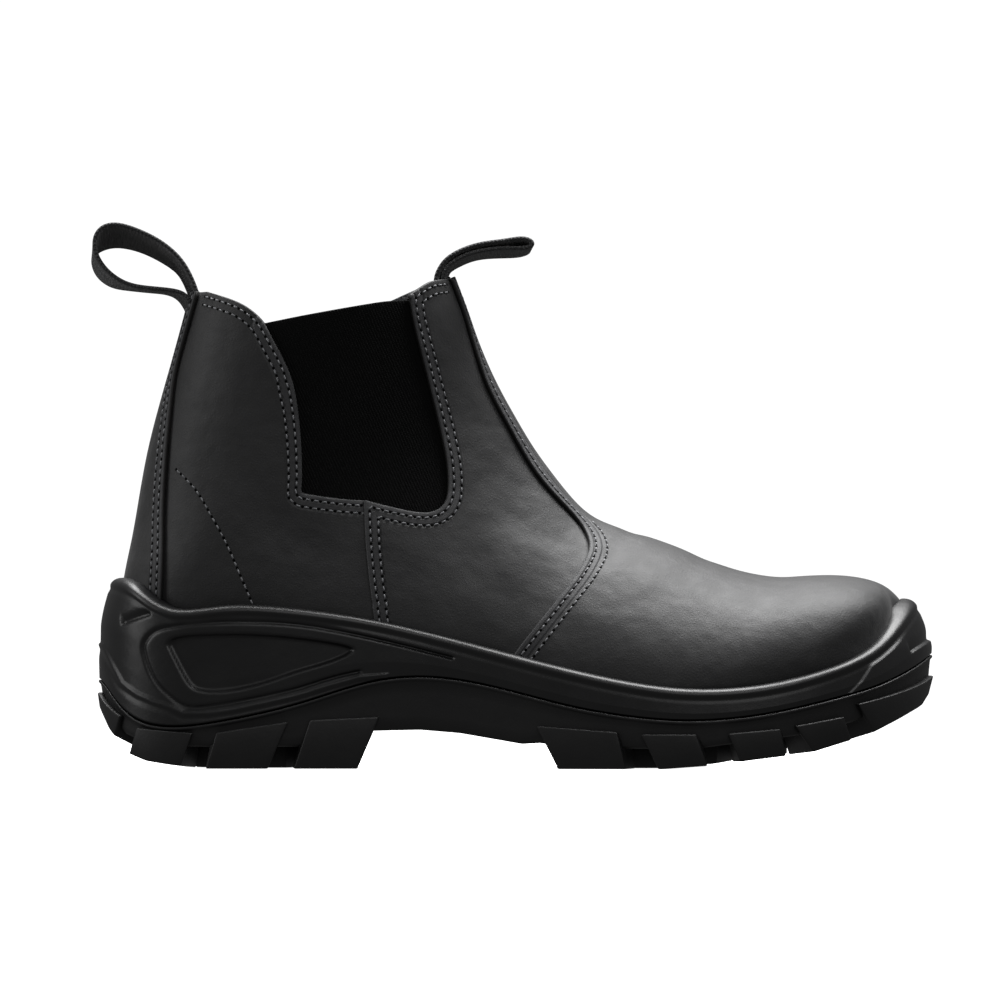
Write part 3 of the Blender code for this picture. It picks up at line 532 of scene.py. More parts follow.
@dataclass
class Last:
    """The last with its leather: the surface that all the leather pieces lie on."""

    rows: Spline = field(default_factory=lambda: Spline(SECTIONS))
    place_scale: Array = field(init=False)
    turn_scale: float = 100.0
    tuck_gap: float = 2.0
    tuck_rise: float = 12.0
    tuck_nose: tuple[float, float] = (2.5, 12.0)
    inset_share: float = 0.93

    def __post_init__(self) -> None:
        """Measures how far the places lie apart on the surface."""
        places = np.linspace(0, len(SECTIONS) - 1, 241)
        steps = [np.linalg.norm(np.diff(self.bare(places, np.full(241, t)), axis=0), axis=1)
                 for t in (0.0, -0.3, -0.55, 0.3)]
        run = np.concatenate([[0], np.cumsum(np.mean(steps, axis=0))])
        self.place_scale = np.stack([places, run])

    def _spans(self, place: Array) -> tuple[Array, Array, Array]:
        """The section rows, the way up each and its length.

        Args:
            place: places along the SECTIONS table.

        Returns:
            The rows, the ways up and the lengths.
        """
        here = self.rows(place)
        span = here[:, 0:2] - here[:, 2:4]
        length = np.linalg.norm(span, axis=1)
        return here, span / length[:, None], length

    def bare(self, place: Array, turn: Array) -> Array:
        """Points of the surface without its creases.

        Args:
            place: places along the SECTIONS table.
            turn: turns round the section.

        Returns:
            One point for each pair, in the tables' millimetres.
        """
        turn = (np.asarray(turn, float) + 1.0) % 2.0 - 1.0
        here, up, length = self._spans(place)
        row = Section(*here.T)
        side = np.where(turn < 0, -1.0, 1.0)
        half = np.where(turn < 0, row.outer, row.inner)
        share = 1.0 - np.abs(turn)
        low = share < LOW_SHARE
        angle = np.where(low, share / LOW_SHARE, (share - LOW_SHARE) / (1 - LOW_SHARE))
        angle = np.clip(angle, 0.0, 1.0) * math.pi / 2
        sine, cosine = np.sin(angle), np.maximum(np.cos(angle), 0.0)
        reach = sine ** (2 / row.crown)
        rise = np.where(low, -row.waist * length * cosine ** (2 / row.base),
                        (1 - row.waist) * length * reach)
        width = np.where(low, sine ** (2 / row.base),
                         cosine ** (2 / row.crown) * (1 - row.peak * reach**2))
        share_up = row.waist + rise / length
        centre = row.low_y + (row.top_y - row.low_y) * share_up
        middle = here[:, 2:4] + up * (share_up * length)[:, None]
        return np.stack([middle[:, 0], centre + side * half * width, middle[:, 1]], axis=1)

    def normals(self, place: Array, turn: Array) -> Array:
        """Outward normals of the surface.

        Args:
            place: places along the SECTIONS table.
            turn: turns round the section.

        Returns:
            One unit vector for each pair.
        """
        step = 0.004
        across = self.bare(place, turn + step) - self.bare(place, turn - step)
        along = self.bare(place + 5 * step, turn) - self.bare(place - 5 * step, turn)
        return unit(np.cross(across, along))

    def swell(self, points: Array) -> Array:
        """How far the creases move each point of the surface outwards.

        Args:
            points: points of the surface.

        Returns:
            One distance for each point.
        """
        moved = np.zeros(len(points))
        flat = points[:, [0, 2]]
        for crease in CREASES:
            line = np.array([(crease.start_x, crease.start_z), (crease.end_x, crease.end_z)])
            away = line_distance(flat, line)
            moved -= crease.depth * np.exp(-((away / crease.width) ** 2))
        return moved

    def tuck(self, points: Array) -> Array:
        """How far the toe is drawn in just above the sole's rim, and not at its very front.

        Args:
            points: points of the surface.

        Returns:
            One distance for each point.
        """
        rim = height_at([(edge.x, edge.rand) for edge in SOLE], points[:, 0])
        above = np.maximum(points[:, 2] - rim - self.tuck_gap, 0.0)
        return (height_at(TOE_TUCK, points[:, 0]) * np.exp(-((above / self.tuck_rise) ** 2))
                * smoothstep(*self.tuck_nose, np.abs(points[:, 1] - TOE_MIDDLE)))

    def at(self, spots: Array, depth: Depth = 0.0) -> Array:
        """Points at a depth under the surface.

        Args:
            spots: pairs of place and turn.
            depth: the depth, or a function of the points' x and z that gives it.

        Returns:
            One point for each spot, in the tables' millimetres.
        """
        points = self.bare(spots[:, 0], spots[:, 1])
        sunk = depth(points[:, 0], points[:, 2]) if callable(depth) else depth
        out = self.swell(points) - self.tuck(points) - sunk
        return points + self.normals(spots[:, 0], spots[:, 1]) * out[:, None]

    def flat(self, spots: Array) -> Array:
        """The spots on a plane whose distances are about those on the surface."""
        run = np.interp(spots[:, 0], *self.place_scale)
        return np.stack([run, spots[:, 1] * self.turn_scale], axis=1)

    def unflat(self, plane: Array) -> Array:
        """The spots that lie at these points of the plane."""
        place = np.interp(plane[:, 0], self.place_scale[1], self.place_scale[0])
        return np.stack([place, plane[:, 1] / self.turn_scale], axis=1)

    def locate(self, outline: Array | Outline, side: Side) -> Array:
        """The spots of one side that show at these points of the side view.

        Args:
            outline: points of the side view.
            side: the side to look at.

        Returns:
            One spot for each point.
        """
        outline = np.asarray(outline, float)
        places = np.linspace(0, len(SECTIONS) - 1, 1201)
        here, up, length = self._spans(places)
        offset = outline[:, None, :] - here[None, :, 2:4]
        aside = offset[:, :, 0] * up[None, :, 1] - offset[:, :, 1] * up[None, :, 0]
        along = np.sum(offset * up[None], axis=2) / length[None]
        flips = (np.sign(aside[:, 1:]) != np.sign(aside[:, :-1])) & (along[:, 1:] > -0.2)
        flips &= along[:, 1:] < 1.2
        first = np.argmax(flips, axis=1)
        rows = np.arange(len(outline))
        a, b = aside[rows, first], aside[rows, first + 1]
        place = places[first] + (places[1] - places[0]) * a / np.where(a == b, 1.0, a - b)
        here, up, length = self._spans(place)
        row = Section(*here.T)
        rise = np.sum((outline - here[:, 2:4]) * up, axis=1) / length - row.waist
        low = np.clip(-rise / row.waist, 0.0, 1.0) ** (row.base / 2)
        high = np.clip(rise / (1 - row.waist), 0.0, 1.0) ** (row.crown / 2)
        share = np.where(rise < 0, np.arccos(low) / (math.pi / 2) * LOW_SHARE,
                         LOW_SHARE + np.arcsin(high) / (math.pi / 2) * (1 - LOW_SHARE))
        return np.stack([place, side.value * (1.0 - share)], axis=1)

    def end_spot(self, z: float, turn: float) -> Array:
        """The spot at this height on the ridge, or on the back if the turn isn't 0.

        Args:
            z: the height.
            turn: 0 for the ridge, and minus 1 or 1 for the back.

        Returns:
            The spot.
        """
        first = RIDGE_START if turn == 0 else BACK_START
        places = np.linspace(first, len(SECTIONS) - 1.0, 800)
        heights = self.bare(places, np.full(800, turn))[:, 2]
        return np.array([np.interp(z, heights, places), turn])

    def shifted(self, spots: Array, away: float) -> Array:
        """A line of spots moved sideways on the surface, to the left of its run if plus.

        Args:
            spots: the line.
            away: the distance.

        Returns:
            The moved line.
        """
        points = self.bare(spots[:, 0], spots[:, 1])
        normal = self.normals(spots[:, 0], spots[:, 1])
        along = unit(np.gradient(points, axis=0))
        wanted = np.cross(normal, along) * away
        step = 0.01
        by_place = (self.bare(spots[:, 0] + step, spots[:, 1]) - points) / step
        by_turn = (self.bare(spots[:, 0], spots[:, 1] + step) - points) / step
        pp, pt, tt = (np.sum(a * b, axis=1) for a, b in
                      ((by_place, by_place), (by_place, by_turn), (by_turn, by_turn)))
        wp, wt = np.sum(wanted * by_place, axis=1), np.sum(wanted * by_turn, axis=1)
        scale = pp * tt - pt * pt
        return spots + np.stack([(wp * tt - wt * pt) / scale, (wt * pp - wp * pt) / scale], axis=1)

    def inset(self, spots: Array, away: float) -> Array:
        """A line moved sideways as by shifted, without the loops that a corner gives it.

        Args:
            spots: the line.
            away: the distance.

        Returns:
            The moved line.
        """
        moved = self.shifted(spots, away)
        tree = tree_of(self.bare(spots[:, 0], spots[:, 1]))
        clear = [tree.find(p)[2] > abs(away) * self.inset_share
                 for p in self.bare(moved[:, 0], moved[:, 1])]
        return moved[np.array(clear, bool)]


class Face(Enum):
    """Material slots of a leather piece."""

    GRAIN = 0
    LINING = 1
    CUT = 2


@dataclass
class Panel:
    """A sheet of leather or elastic cut to an outline on the last."""

    last: Last
    curves: list[Array]
    outer: Depth
    inner: Depth
    spacing: float = 1.3
    round: float = 0.35
    grid_start: tuple[float, float] = (0.37, 0.41)
    column_pitch: float = 0.92
    border_gap: float = 0.62
    seam: Array | None = None

    def _mesh_flat(self) -> tuple[Array, list[tuple[int, ...]]]:
        """Spots inside the outline and the triangles between them.

        Returns:
            The spots on the flat plane, and the triangles between them.
        """
        edge = [resample(self.last.flat(c), self.spacing)[:-1] for c in self.curves]
        border = np.concatenate(edge)
        low, high = border.min(axis=0), border.max(axis=0)
        step = self.spacing
        columns = np.arange(low[0] + step * self.grid_start[0], high[0], step * self.column_pitch)
        lines = np.arange(low[1] + step * self.grid_start[1], high[1], step)
        grid = np.stack(np.meshgrid(columns, lines, indexing="ij"), axis=-1)
        grid[1::2, :, 1] += step / 2
        grid = grid.reshape(-1, 2)
        if low[1] < 0.0 < high[1]:
            ridge = np.stack([columns, np.zeros(len(columns))], axis=1)
            grid = np.concatenate([grid[np.abs(grid[:, 1]) > step * 0.5], ridge])
        grid = grid[is_inside(grid, border)]
        tree = tree_of(np.pad(border, ((0, 0), (0, 1))))
        keep = [tree.find((a, b, 0.0))[2] > step * self.border_gap for a, b in grid]
        flat = np.concatenate([border, grid[np.array(keep, bool)]])
        spots, _, faces, _, _, _ = delaunay_2d_cdt(
            [Vector(p) for p in flat], [], [list(range(len(border)))], 1, 1e-7)
        return np.array([tuple(s) for s in spots]), [tuple(f) for f in faces]

    def _border(self, faces: list[tuple[int, ...]]) -> list[int]:
        """The outline's vertices in order, with the sheet on the left.

        Args:
            faces: the triangles of the sheet.

        Returns:
            The numbers of the vertices.
        """
        directed = {(f[i], f[(i + 1) % 3]) for f in faces for i in range(3)}
        follows = {a: b for a, b in directed if (b, a) not in directed}
        order = [next(iter(follows))]
        while follows[order[-1]] != order[0]:
            order.append(follows[order[-1]])
            if len(order) > len(follows):
                raise ValueError("the outline of this panel crosses itself")
        return order

    def build(self, name: str) -> bpy.types.Object:
        """Makes the sheet as a closed shell with rounded edges.

        Args:
            name: the object's name.

        Returns:
            The new object, with faces numbered by Face and the distances to its seam.
        """
        flat, faces = self._mesh_flat()
        spots = self.last.unflat(flat)
        top = self.last.at(spots, self.outer)
        under = self.last.at(spots, self.inner)
        a, b, c = (top[[f[i] for f in faces]] for i in range(3))
        facing = np.sum(np.cross(b - a, c - a) * self.last.normals(*spots[[f[0] for f in faces]].T))
        if facing < 0:
            faces = [f[::-1] for f in faces]
        order = self._border(faces)
        ring, below = top[order], under[order]
        down = unit(below - ring)
        along = np.roll(ring, -1, axis=0) - np.roll(ring, 1, axis=0)
        inward = unit(np.cross(along, down))
        rim = []
        for angle in (0.0, 45.0, 90.0):
            sink = self.round * (1 - math.cos(math.radians(angle)))
            inset = self.round * (1 - math.sin(math.radians(angle)))
            rim.append(ring + inward * inset + down * sink)
        top[order] = rim[0]
        count, size = len(top), len(order)
        points = np.concatenate([top, under, rim[1], rim[2]])
        middle, lower = 2 * count, 2 * count + size
        shell = list(faces) + [tuple(count + i for i in f[::-1]) for f in faces]
        kinds = [Face.GRAIN.value] * len(faces) + [Face.LINING.value] * len(faces)
        for i in range(size):
            j = (i + 1) % size
            strip = [order[i], order[j], middle + j, middle + i, lower + j, lower + i,
                     count + order[j], count + order[i]]
            shell += [(strip[1], strip[0], strip[3], strip[2]),
                      (strip[2], strip[3], strip[5], strip[4]),
                      (strip[4], strip[5], strip[7], strip[6])]
            kinds += [Face.GRAIN.value, Face.CUT.value, Face.CUT.value]
        made = new_mesh(name, points, shell, kinds)
        if self.seam is not None:
            store_distance(made, "seam_mm", points, self.last.at(self.seam, self.outer))
        return made


def new_mesh(name: str, points: Array, faces: Sequence[Sequence[int]],
             kinds: Sequence[int] | None = None) -> bpy.types.Object:
    """A smooth shaded mesh object from points of the tables.

    Args:
        name: the object's name.
        points: the vertices, in the tables' millimetres.
        faces: the vertex numbers of each face.
        kinds: the material slot of each face.

    Returns:
        The new object.
    """
    mesh = bpy.data.meshes.new(name)
    mesh.from_pydata(to_row(points).tolist(), [], [list(map(int, f)) for f in faces])
    mesh.shade_smooth()
    if kinds is not None:
        mesh.polygons.foreach_set("material_index", np.array(kinds, np.int32))
    mesh.update()
    made = bpy.data.objects.new(name, mesh)
    bpy.context.scene.collection.objects.link(made)
    return made


def store(obj: bpy.types.Object, name: str, values: Array) -> None:
    """Keeps a number for each vertex, for the materials to read."""
    attribute = obj.data.attributes.new(name, "FLOAT", "POINT")
    attribute.data.foreach_set("value", np.asarray(values, np.float32))


def store_distance(obj: bpy.types.Object, name: str, points: Array, line: Array) -> None:
    """Keeps each vertex's distance to a line, up to 20 mm.

    Args:
        obj: the object that keeps the numbers.
        name: the attribute's name.
        points: the object's vertices.
        line: the line to measure to.
    """
    tree = tree_of(resample(line, 0.5))
    store(obj, name, np.array([min(tree.find(p)[2], 20.0) for p in points]))


def join(name: str, objects: list[bpy.types.Object]) -> bpy.types.Object:
    """One object made of several, under a new name.

    Args:
        name: the new name.
        objects: the objects to join.

    Returns:
        The one object.
    """
    with bpy.context.temp_override(active_object=objects[0], object=objects[0],
                                   selected_objects=objects, selected_editable_objects=objects):
        bpy.ops.object.join()
    objects[0].name = name
    objects[0].data.name = name
    return objects[0]


def tube_faces(count: int, rows: int) -> list[tuple[int, ...]]:
    """Quads between closed rings of points, the rings numbered one after the other.

    Args:
        count: how many points a ring has.
        rows: how many rings there are.

    Returns:
        The vertex numbers of each quad.
    """
    faces = []
    for row in range(rows - 1):
        low, high = row * count, (row + 1) * count
        for i in range(count):
            j = (i + 1) % count
            faces.append((low + i, low + j, high + j, high + i))
    return faces


def end_faces(count: int, rows: int) -> list[tuple[int, ...]]:
    """The two faces that close a tube, numbered as by tube_faces."""
    return [tuple(range(count))[::-1], tuple(range((rows - 1) * count, rows * count))]


def rungs(count: int, start: int, upwards: bool) -> list[tuple[int, ...]]:
    """Triangles straight across a ring that runs out along one side and back along the other.

    Args:
        count: how many points the ring has.
        start: the number of its first.
        upwards: whether the triangles keep the ring's order.

    Returns:
        The vertex numbers of each triangle.
    """
    faces = []
    for i in range(count // 2):
        near, far = start + i, start + (count - i) % count
        next_near, next_far = near + 1, start + count - i - 1
        if near != far:
            faces.append((near, next_near, far))
        if next_near != next_far:
            faces.append((next_near, next_far, far))
    return faces if upwards else [face[::-1] for face in faces]


def ring_solid(name: str, rings: Sequence[Array]) -> bpy.types.Object:
    """A closed solid through rings of points, with rungs across its first and last ring.

    Args:
        name: the object's name.
        rings: the rings in order.

    Returns:
        The new object.
    """
    count = len(rings[0])
    faces = tube_faces(count, len(rings)) + rungs(count, 0, False)
    faces += rungs(count, (len(rings) - 1) * count, True)
    return new_mesh(name, np.concatenate(rings), faces)


@dataclass
class Upper:
    """The leather, elastic and lining of the boot, with their seams."""

    last: Last
    cut_skin: float = 1.9
    quarter_back: float = 2.85
    seam_skin: float = 0.75
    under_vamp: float = 1.6
    overlay: float = 1.5
    gore_skin: float = 2.9
    gore_hidden: float = 5.0
    lining_skin: float = 3.95
    lining_back: float = 4.6
    lining_drop: float = 0.6
    lap: float = 6.5
    row_near: float = 2.0
    row_far: float = 5.0
    vamp_near: float = 2.5
    vamp_far: float = 6.4
    vamp_lap: float = 0.75
    vamp_ease: tuple[float, float] = (6.0, 26.0)
    quarter_step: tuple[float, float] = (1.0, 4.0)
    lap_corner_z: float = 96.1
    air: float = 0.05

    def _foot(self, first: float, last: float, side: Side) -> Array:
        """The bottom edge of a piece between two places."""
        places = np.linspace(first, last, 40)
        return np.stack([places, np.full(40, side.value * FOOT_TURN)], axis=1)

    def _line(self, outline: Outline, side: Side) -> Array:
        """A smooth side view line, laid on one side of the last."""
        return self.last.locate(flowing(outline), side)

    def _front_depth(self, x: Array, z: Array) -> Array:
        """Depth of the front quarter's face: over the back quarter, and down under the vamp.

        Args:
            x: how far forward each point lies.
            z: its height.

        Returns:
            One depth for each point.
        """
        away = line_distance(np.stack([x, z], axis=1), flowing(VAMP_EDGE, 4.0))
        return self.under_vamp - (self.under_vamp - self.seam_skin) * smoothstep(
            *self.vamp_ease, away)

    def _front_back(self, x: Array, z: Array) -> Array:
        """Depth of the front quarter's flesh side, which steps up over the back quarter.

        Args:
            x: how far forward each point lies.
            z: its height.

        Returns:
            One depth for each point.
        """
        seam = np.interp(z, [p[1] for p in SEAM_EDGE], [p[0] for p in SEAM_EDGE])
        rise = smoothstep(*self.quarter_step, x - seam - self.lap)
        low = np.where(z < GORE_FOOT[-1][1] + 2.0, self.cut_skin - self.air, self.quarter_back)
        return low + (self.quarter_back - low) * rise

    def back_quarter(self, side: Side) -> bpy.types.Object:
        """The leather from the heel to under the side seam, round the back of the gore.

        Args:
            side: the side of the boot.

        Returns:
            The new object.
        """
        last = self.last
        seam = last.shifted(self._line(SEAM_EDGE, side), side.value * self.lap)
        gore = self._line(GORE_BACK + GORE_FOOT[1:], side)
        lapped = last.locate(np.array([(self.lap + GORE_FOOT[-1][0], self.lap_corner_z)]), side)
        top = self._line(COLLAR_BACK, side)
        back = last.end_spot(COLLAR_Z_BACK, side.value)
        places = np.linspace(back[0], SPINE_FOOT, 60)
        spine = np.stack([places, np.full(60, float(side.value))], axis=1)
        heel = Spline([spine[-1], (14.9, side.value * 0.96), (HEEL_PLACE, side.value * FOOT_TURN)])
        low = self._foot(HEEL_PLACE, seam[0][0], side)
        curves = [spine, heel(np.linspace(0, 2, 12)), low,
                  np.vstack([low[-1:], seam[3:-3], lapped]),
                  np.vstack([lapped, gore[::-1]]), top[::-1],
                  np.vstack([top[:1], back[None]])]
        panel = Panel(last, curves, self.cut_skin, self.quarter_back, seam=gore)
        return panel.build(f"back_quarter_{side.name.lower()}")

    def front_quarter(self, side: Side) -> bpy.types.Object:
        """The leather between the side seam and the vamp, round the front of the gore.

        Args:
            side: the side of the boot.

        Returns:
            The new object.
        """
        last = self.last
        seam = self._line(SEAM_EDGE, side)
        gore = self._line(GORE_FRONT, side)
        collar = self._line(COLLAR_FRONT, side)
        vamp = last.shifted(self._line(VAMP_EDGE, side), side.value * self.lap * self.vamp_lap)
        low = self._foot(seam[0][0], vamp[0][0], side)
        curves = [np.vstack([low[-1:], vamp[2:]]), np.vstack([vamp[-1:], collar[::-1]]), gore[::-1],
                  np.vstack([seam[::-1], low[:1]]), low]
        edge = np.vstack([seam[:-1], gore])
        panel = Panel(last, curves, self._front_depth, self._front_back, seam=edge)
        return panel.build(f"front_quarter_{side.name.lower()}")

    def vamp(self) -> bpy.types.Object:
        """The toe and instep in one piece, with the strip up the front of the shaft.

        Returns:
            The new object.
        """
        last = self.last
        outer, inner = (self._line(VAMP_EDGE, side) for side in (Side.OUTER, Side.INNER))
        top = last.end_spot(COLLAR_Z_FRONT, 0.0)
        arc = Spline([outer[-1], (top[0], 0.0), inner[-1]])(np.linspace(0, 2, 24))
        toe = np.stack([np.full(60, TOE_PLACE), np.linspace(FOOT_TURN, -FOOT_TURN, 60)], axis=1)
        low_inner = self._foot(inner[0][0], TOE_PLACE, Side.INNER)
        low_outer = self._foot(TOE_PLACE, outer[0][0], Side.OUTER)
        curves = [outer, arc, inner[::-1], np.vstack([inner[:1], low_inner]), toe,
                  np.vstack([low_outer, outer[:1]])]
        panel = Panel(last, curves, 0.0, self.overlay, seam=np.vstack([outer, arc, inner[::-1]]))
        return panel.build("vamp_leather")

    def backstay(self) -> bpy.types.Object:
        """The strip up the back of the boot.

        Returns:
            The new object.
        """
        last = self.last
        outer, inner = (self._line(BACKSTAY_EDGE, side) for side in (Side.OUTER, Side.INNER))
        inner = inner - np.array([0.0, 2.0])
        top = last.end_spot(COLLAR_Z_BACK, -1.0)
        arc = Spline([inner[-1], (top[0], -1.0), outer[-1]])(np.linspace(0, 2, 16))
        foot = Spline([outer[0], (15.25, -1.0), inner[0]])(np.linspace(0, 2, 20))
        curves = [inner, arc, outer[::-1], foot]
        panel = Panel(last, curves, 0.0, self.overlay, spacing=1.1,
                      seam=np.vstack([inner, arc, outer[::-1]]))
        return panel.build("backstay_leather")

    def gore(self, side: Side) -> bpy.types.Object:
        """The elastic panel, lapped under the leather round its window.

        Args:
            side: the side of the boot.

        Returns:
            The new object.
        """
        last = self.last
        window = last.locate(flowing(GORE_BACK + GORE_FOOT[1:] + GORE_FRONT[1:]), side)
        window = last.shifted(window, side.value * self.gore_hidden)
        top = self._line(GORE_TOP, side)
        curves = [window, np.vstack([window[-1:], top, window[:1]])]
        panel = Panel(last, curves, self.gore_skin, self.lining_skin - self.air, spacing=1.2)
        return panel.build(f"gore_{side.name.lower()}_elastic")

    def lining(self) -> bpy.types.Object:
        """The textile lining: one sheet inside the whole upper.

        Returns:
            The new object.
        """
        last = self.last
        rim = np.array(COLLAR_BACK + GORE_TOP[-3:1:-1] + COLLAR_FRONT[2:-1])
        rim = rim - np.array([0.0, self.lining_drop])
        sides = [last.locate(resample(rim, 1.0), side) for side in (Side.OUTER, Side.INNER)]
        front = last.end_spot(COLLAR_Z_FRONT - self.lining_drop, 0.0)
        back = last.end_spot(COLLAR_Z_BACK - self.lining_drop, -1.0)
        outer = np.vstack([back[None], sides[0], front[None]])
        inner = np.vstack([back[None] + np.array([0.0, 2.0]), sides[1], front[None]])
        low = np.linspace(LINING_HEEL, LINING_TOE, 90)
        heel_turn = np.interp(low, [14.2, LINING_HEEL], [FOOT_TURN, 1.0])
        foot_outer, foot_inner = (np.stack([low, s * heel_turn], axis=1) for s in (-1, 1))
        toe = np.stack([np.full(40, LINING_TOE), np.linspace(-FOOT_TURN, FOOT_TURN, 40)], axis=1)
        spine = np.linspace(LINING_HEEL, back[0], 40)
        spine_outer, spine_inner = (np.stack([spine, np.full(40, s)], axis=1) for s in (-1.0, 1.0))
        curves = [foot_outer, toe, foot_inner[::-1], spine_inner, inner, outer[::-1],
                  spine_outer[::-1]]
        panel = Panel(last, curves, self.lining_skin, self.lining_back, spacing=2.2, round=0.2)
        return panel.build("lining")

    def stitch_lines(self) -> list[tuple[Array, Depth]]:
        """Every row of stitching, as a line on the last and the depth of the leather there.

        Returns:
            One pair for each row.
        """
        last = self.last
        lines: list[tuple[Array, Depth]] = []
        for side in (Side.OUTER, Side.INNER):
            sign = side.value
            gore_back = np.vstack([self._line(COLLAR_BACK, side)[:-1],
                                   self._line(GORE_BACK + GORE_FOOT[1:], side)])
            front = np.vstack([self._line(SEAM_EDGE, side)[:-1], self._line(GORE_FRONT, side)[:-1],
                               self._line(COLLAR_FRONT, side)])
            vamp = self._line(VAMP_EDGE, side)
            stay = self._line(BACKSTAY_EDGE, side)
            lines.append((self._line(COUNTER_ROW[1:], side), self.cut_skin))
            for away in (self.row_near, self.row_far):
                lines.append((last.inset(gore_back, sign * away), self.cut_skin))
                lines.append((last.inset(front, sign * away), self._front_depth))
                lines.append((last.inset(stay, -sign * away), 0.0))
            for away in (self.vamp_near, self.vamp_far):
                lower = vamp if away == self.vamp_near else vamp[:len(vamp) * 2 // 5]
                lines.append((last.inset(lower, sign * away), 0.0))
        return lines


@dataclass
class Stitching:
    """Rows of thread, with dark discs as painted shade of the holes that the needle left."""

    last: Last
    pitch: float = 3.0
    length: float = 1.7
    radius: float = 0.30
    # Radius of the dark disc of painted shade at each needle hole.
    hole: float = 0.58
    dive: float = 0.28
    crown: float = 0.16
    dot_rings: tuple[tuple[float, float], ...] = ((1.0, 0.0), (0.75, 0.07))
    dot_tip: float = 0.09
    sides: int = 6

    def _frames(self, line: Array, depth: Depth, step: float, start: float) -> tuple[Array, ...]:
        """Points at even steps along a line, with the way along, across and out at each.

        Args:
            line: the spots of the row.
            depth: the leather's depth.
            step: the length of a step.
            start: where the first point lies.

        Returns:
            The points, and three unit vectors at each.
        """
        points = self.last.at(line, depth)
        run = run_along(points)
        at = np.arange(start, run[-1], step)
        spots = np.stack([np.interp(at, run, line[:, i]) for i in range(2)], axis=1)
        centre = self.last.at(spots, depth)
        along = unit(np.gradient(centre, axis=0))
        out = self.last.normals(spots[:, 0], spots[:, 1])
        across = unit(np.cross(out, along))
        return centre, along, across, out

    def build(self, name: str, lines: list[tuple[Array, Depth]]) -> bpy.types.Object:
        """Makes all the stitches as one mesh of short threads that dive at their ends.

        Args:
            name: the object's name.
            lines: each row of stitching, as a line on the last and the leather's depth.

        Returns:
            The new object: thread in slot 0, dark discs of painted hole shade in slot 1.
        """
        half = self.length / 2
        first = [(-half, 0.45, -self.dive), (-half * 0.86, 0.85, 0.0),
                 (-half * 0.4, 1.0, self.crown)]
        stations = first + [(-x, size, height) for x, size, height in first[::-1]]
        turns = np.linspace(0, 2 * math.pi, self.sides, endpoint=False)
        thread = np.array([(x, self.radius * r * math.cos(a), self.radius * r * math.sin(a) + h)
                           for x, r, h in stations for a in turns])
        thread_faces = [face[::-1] for face in tube_faces(self.sides, len(stations))]
        last_ring = self.sides * (len(stations) - 1)
        thread_faces.append(tuple(range(self.sides)))
        thread_faces.append(tuple(range(last_ring + self.sides - 1, last_ring - 1, -1)))
        # Painted shade: a flat dark disc at each needle hole, between the threads, for the shade in
        # the hole.
        dot = np.array([(self.hole * r * math.cos(a), self.hole * r * math.sin(a), h)
                        for r, h in self.dot_rings for a in turns] + [(0.0, 0.0, self.dot_tip)])
        tip = 2 * self.sides
        dot_faces = tube_faces(self.sides, 2)
        dot_faces += [(self.sides + i, self.sides + (i + 1) % self.sides, tip)
                      for i in range(self.sides)]
        points, faces, kinds, count = [], [], [], 0
        for line, depth in lines:
            for shape, shape_faces, kind, start in ((thread, thread_faces, 0, self.pitch / 2),
                                                    (dot, dot_faces, 1, 0.0)):
                centre, along, across, out = self._frames(line, depth, self.pitch, start)
                for c, a, b, n in zip(centre, along, across, out):
                    points.append(c + shape[:, :1] * a + shape[:, 1:2] * b + shape[:, 2:] * n)
                    faces += [tuple(count + i for i in face) for face in shape_faces]
                    kinds += [kind] * len(shape_faces)
                    count += len(shape)
        return new_mesh(name, np.concatenate(points), faces, kinds)


@dataclass
class SoleOutline:
    """The line round the sole, from the heel along the outer side to the toe and back."""

    ring: Spline = field(init=False)
    toe: int = len(SOLE) - 1

    def __post_init__(self) -> None:
        """Joins the two sides to one closed line."""
        outer = [(e.x, e.outer, e.rand, e.joint, e.lean) for e in SOLE]
        inner = [(e.x, e.inner, e.rand, e.joint, e.lean) for e in SOLE]
        self.ring = Spline(outer + inner[-2:0:-1], closed=True)

    def _along(self, places: Array) -> Array:
        """The way along the line at these places, in plan."""
        return unit((self.ring(places + 0.02) - self.ring(places - 0.02))[:, :2])

    def points(self, places: Array, out: Array | float) -> tuple[Array, Array, Array, Array]:
        """x, y, rand height and joint height at these places, moved out by a distance.

        Args:
            places: places round the sole.
            out: the distance outwards.

        Returns:
            The four numbers, one array of each.
        """
        here = self.ring(places)
        along = self._along(places)
        xy = here[:, :2] + np.stack([along[:, 1], -along[:, 0]], axis=1) * np.reshape(out, (-1, 1))
        return xy[:, 0], xy[:, 1], here[:, 2], here[:, 3]

    def lean(self, places: Array, drop: Array | float) -> Array:
        """How far the wall comes in at a depth below the rand.

        Args:
            places: places round the sole.
            drop: the depth.

        Returns:
            One distance for each place.
        """
        return (self.ring(places)[:, 4] * np.abs(self._along(places)[:, 1])
                * np.clip(1.0 - drop / LEAN_SPAN, 0.0, 1.0) ** LEAN_POWER)

    def places(self, steps: int) -> Array:
        """Even places round the sole, the same number on each side.

        Args:
            steps: how many steps a side has.

        Returns:
            The places in order.
        """
        half = 2000
        fine = np.linspace(0, 2 * self.toe, 2 * half + 1)
        points = self.ring(fine)[:, :2]
        run = run_along(points)
        outer = np.interp(np.linspace(0, run[half], steps + 1), run[:half + 1], fine[:half + 1])
        inner = np.interp(np.linspace(run[half], run[-1], steps + 1), run[half:], fine[half:])
        return np.concatenate([outer, inner[1:-1]])

    def side_place(self, side: Side, x: float) -> float:
        """The place on one side that lies at x.

        Args:
            side: the side of the sole.
            x: how far forward.

        Returns:
            The place.
        """
        if side is Side.OUTER:
            fine = np.linspace(0, self.toe, 2001)
        else:
            fine = np.linspace(2 * self.toe, self.toe, 2001)
        return float(np.interp(x, self.ring(fine)[:, 0], fine))


def height_at(table: Outline, x: Array) -> Array:
    """Heights read from a table of x and height."""
    return np.interp(x, [p[0] for p in table], [p[1] for p in table])


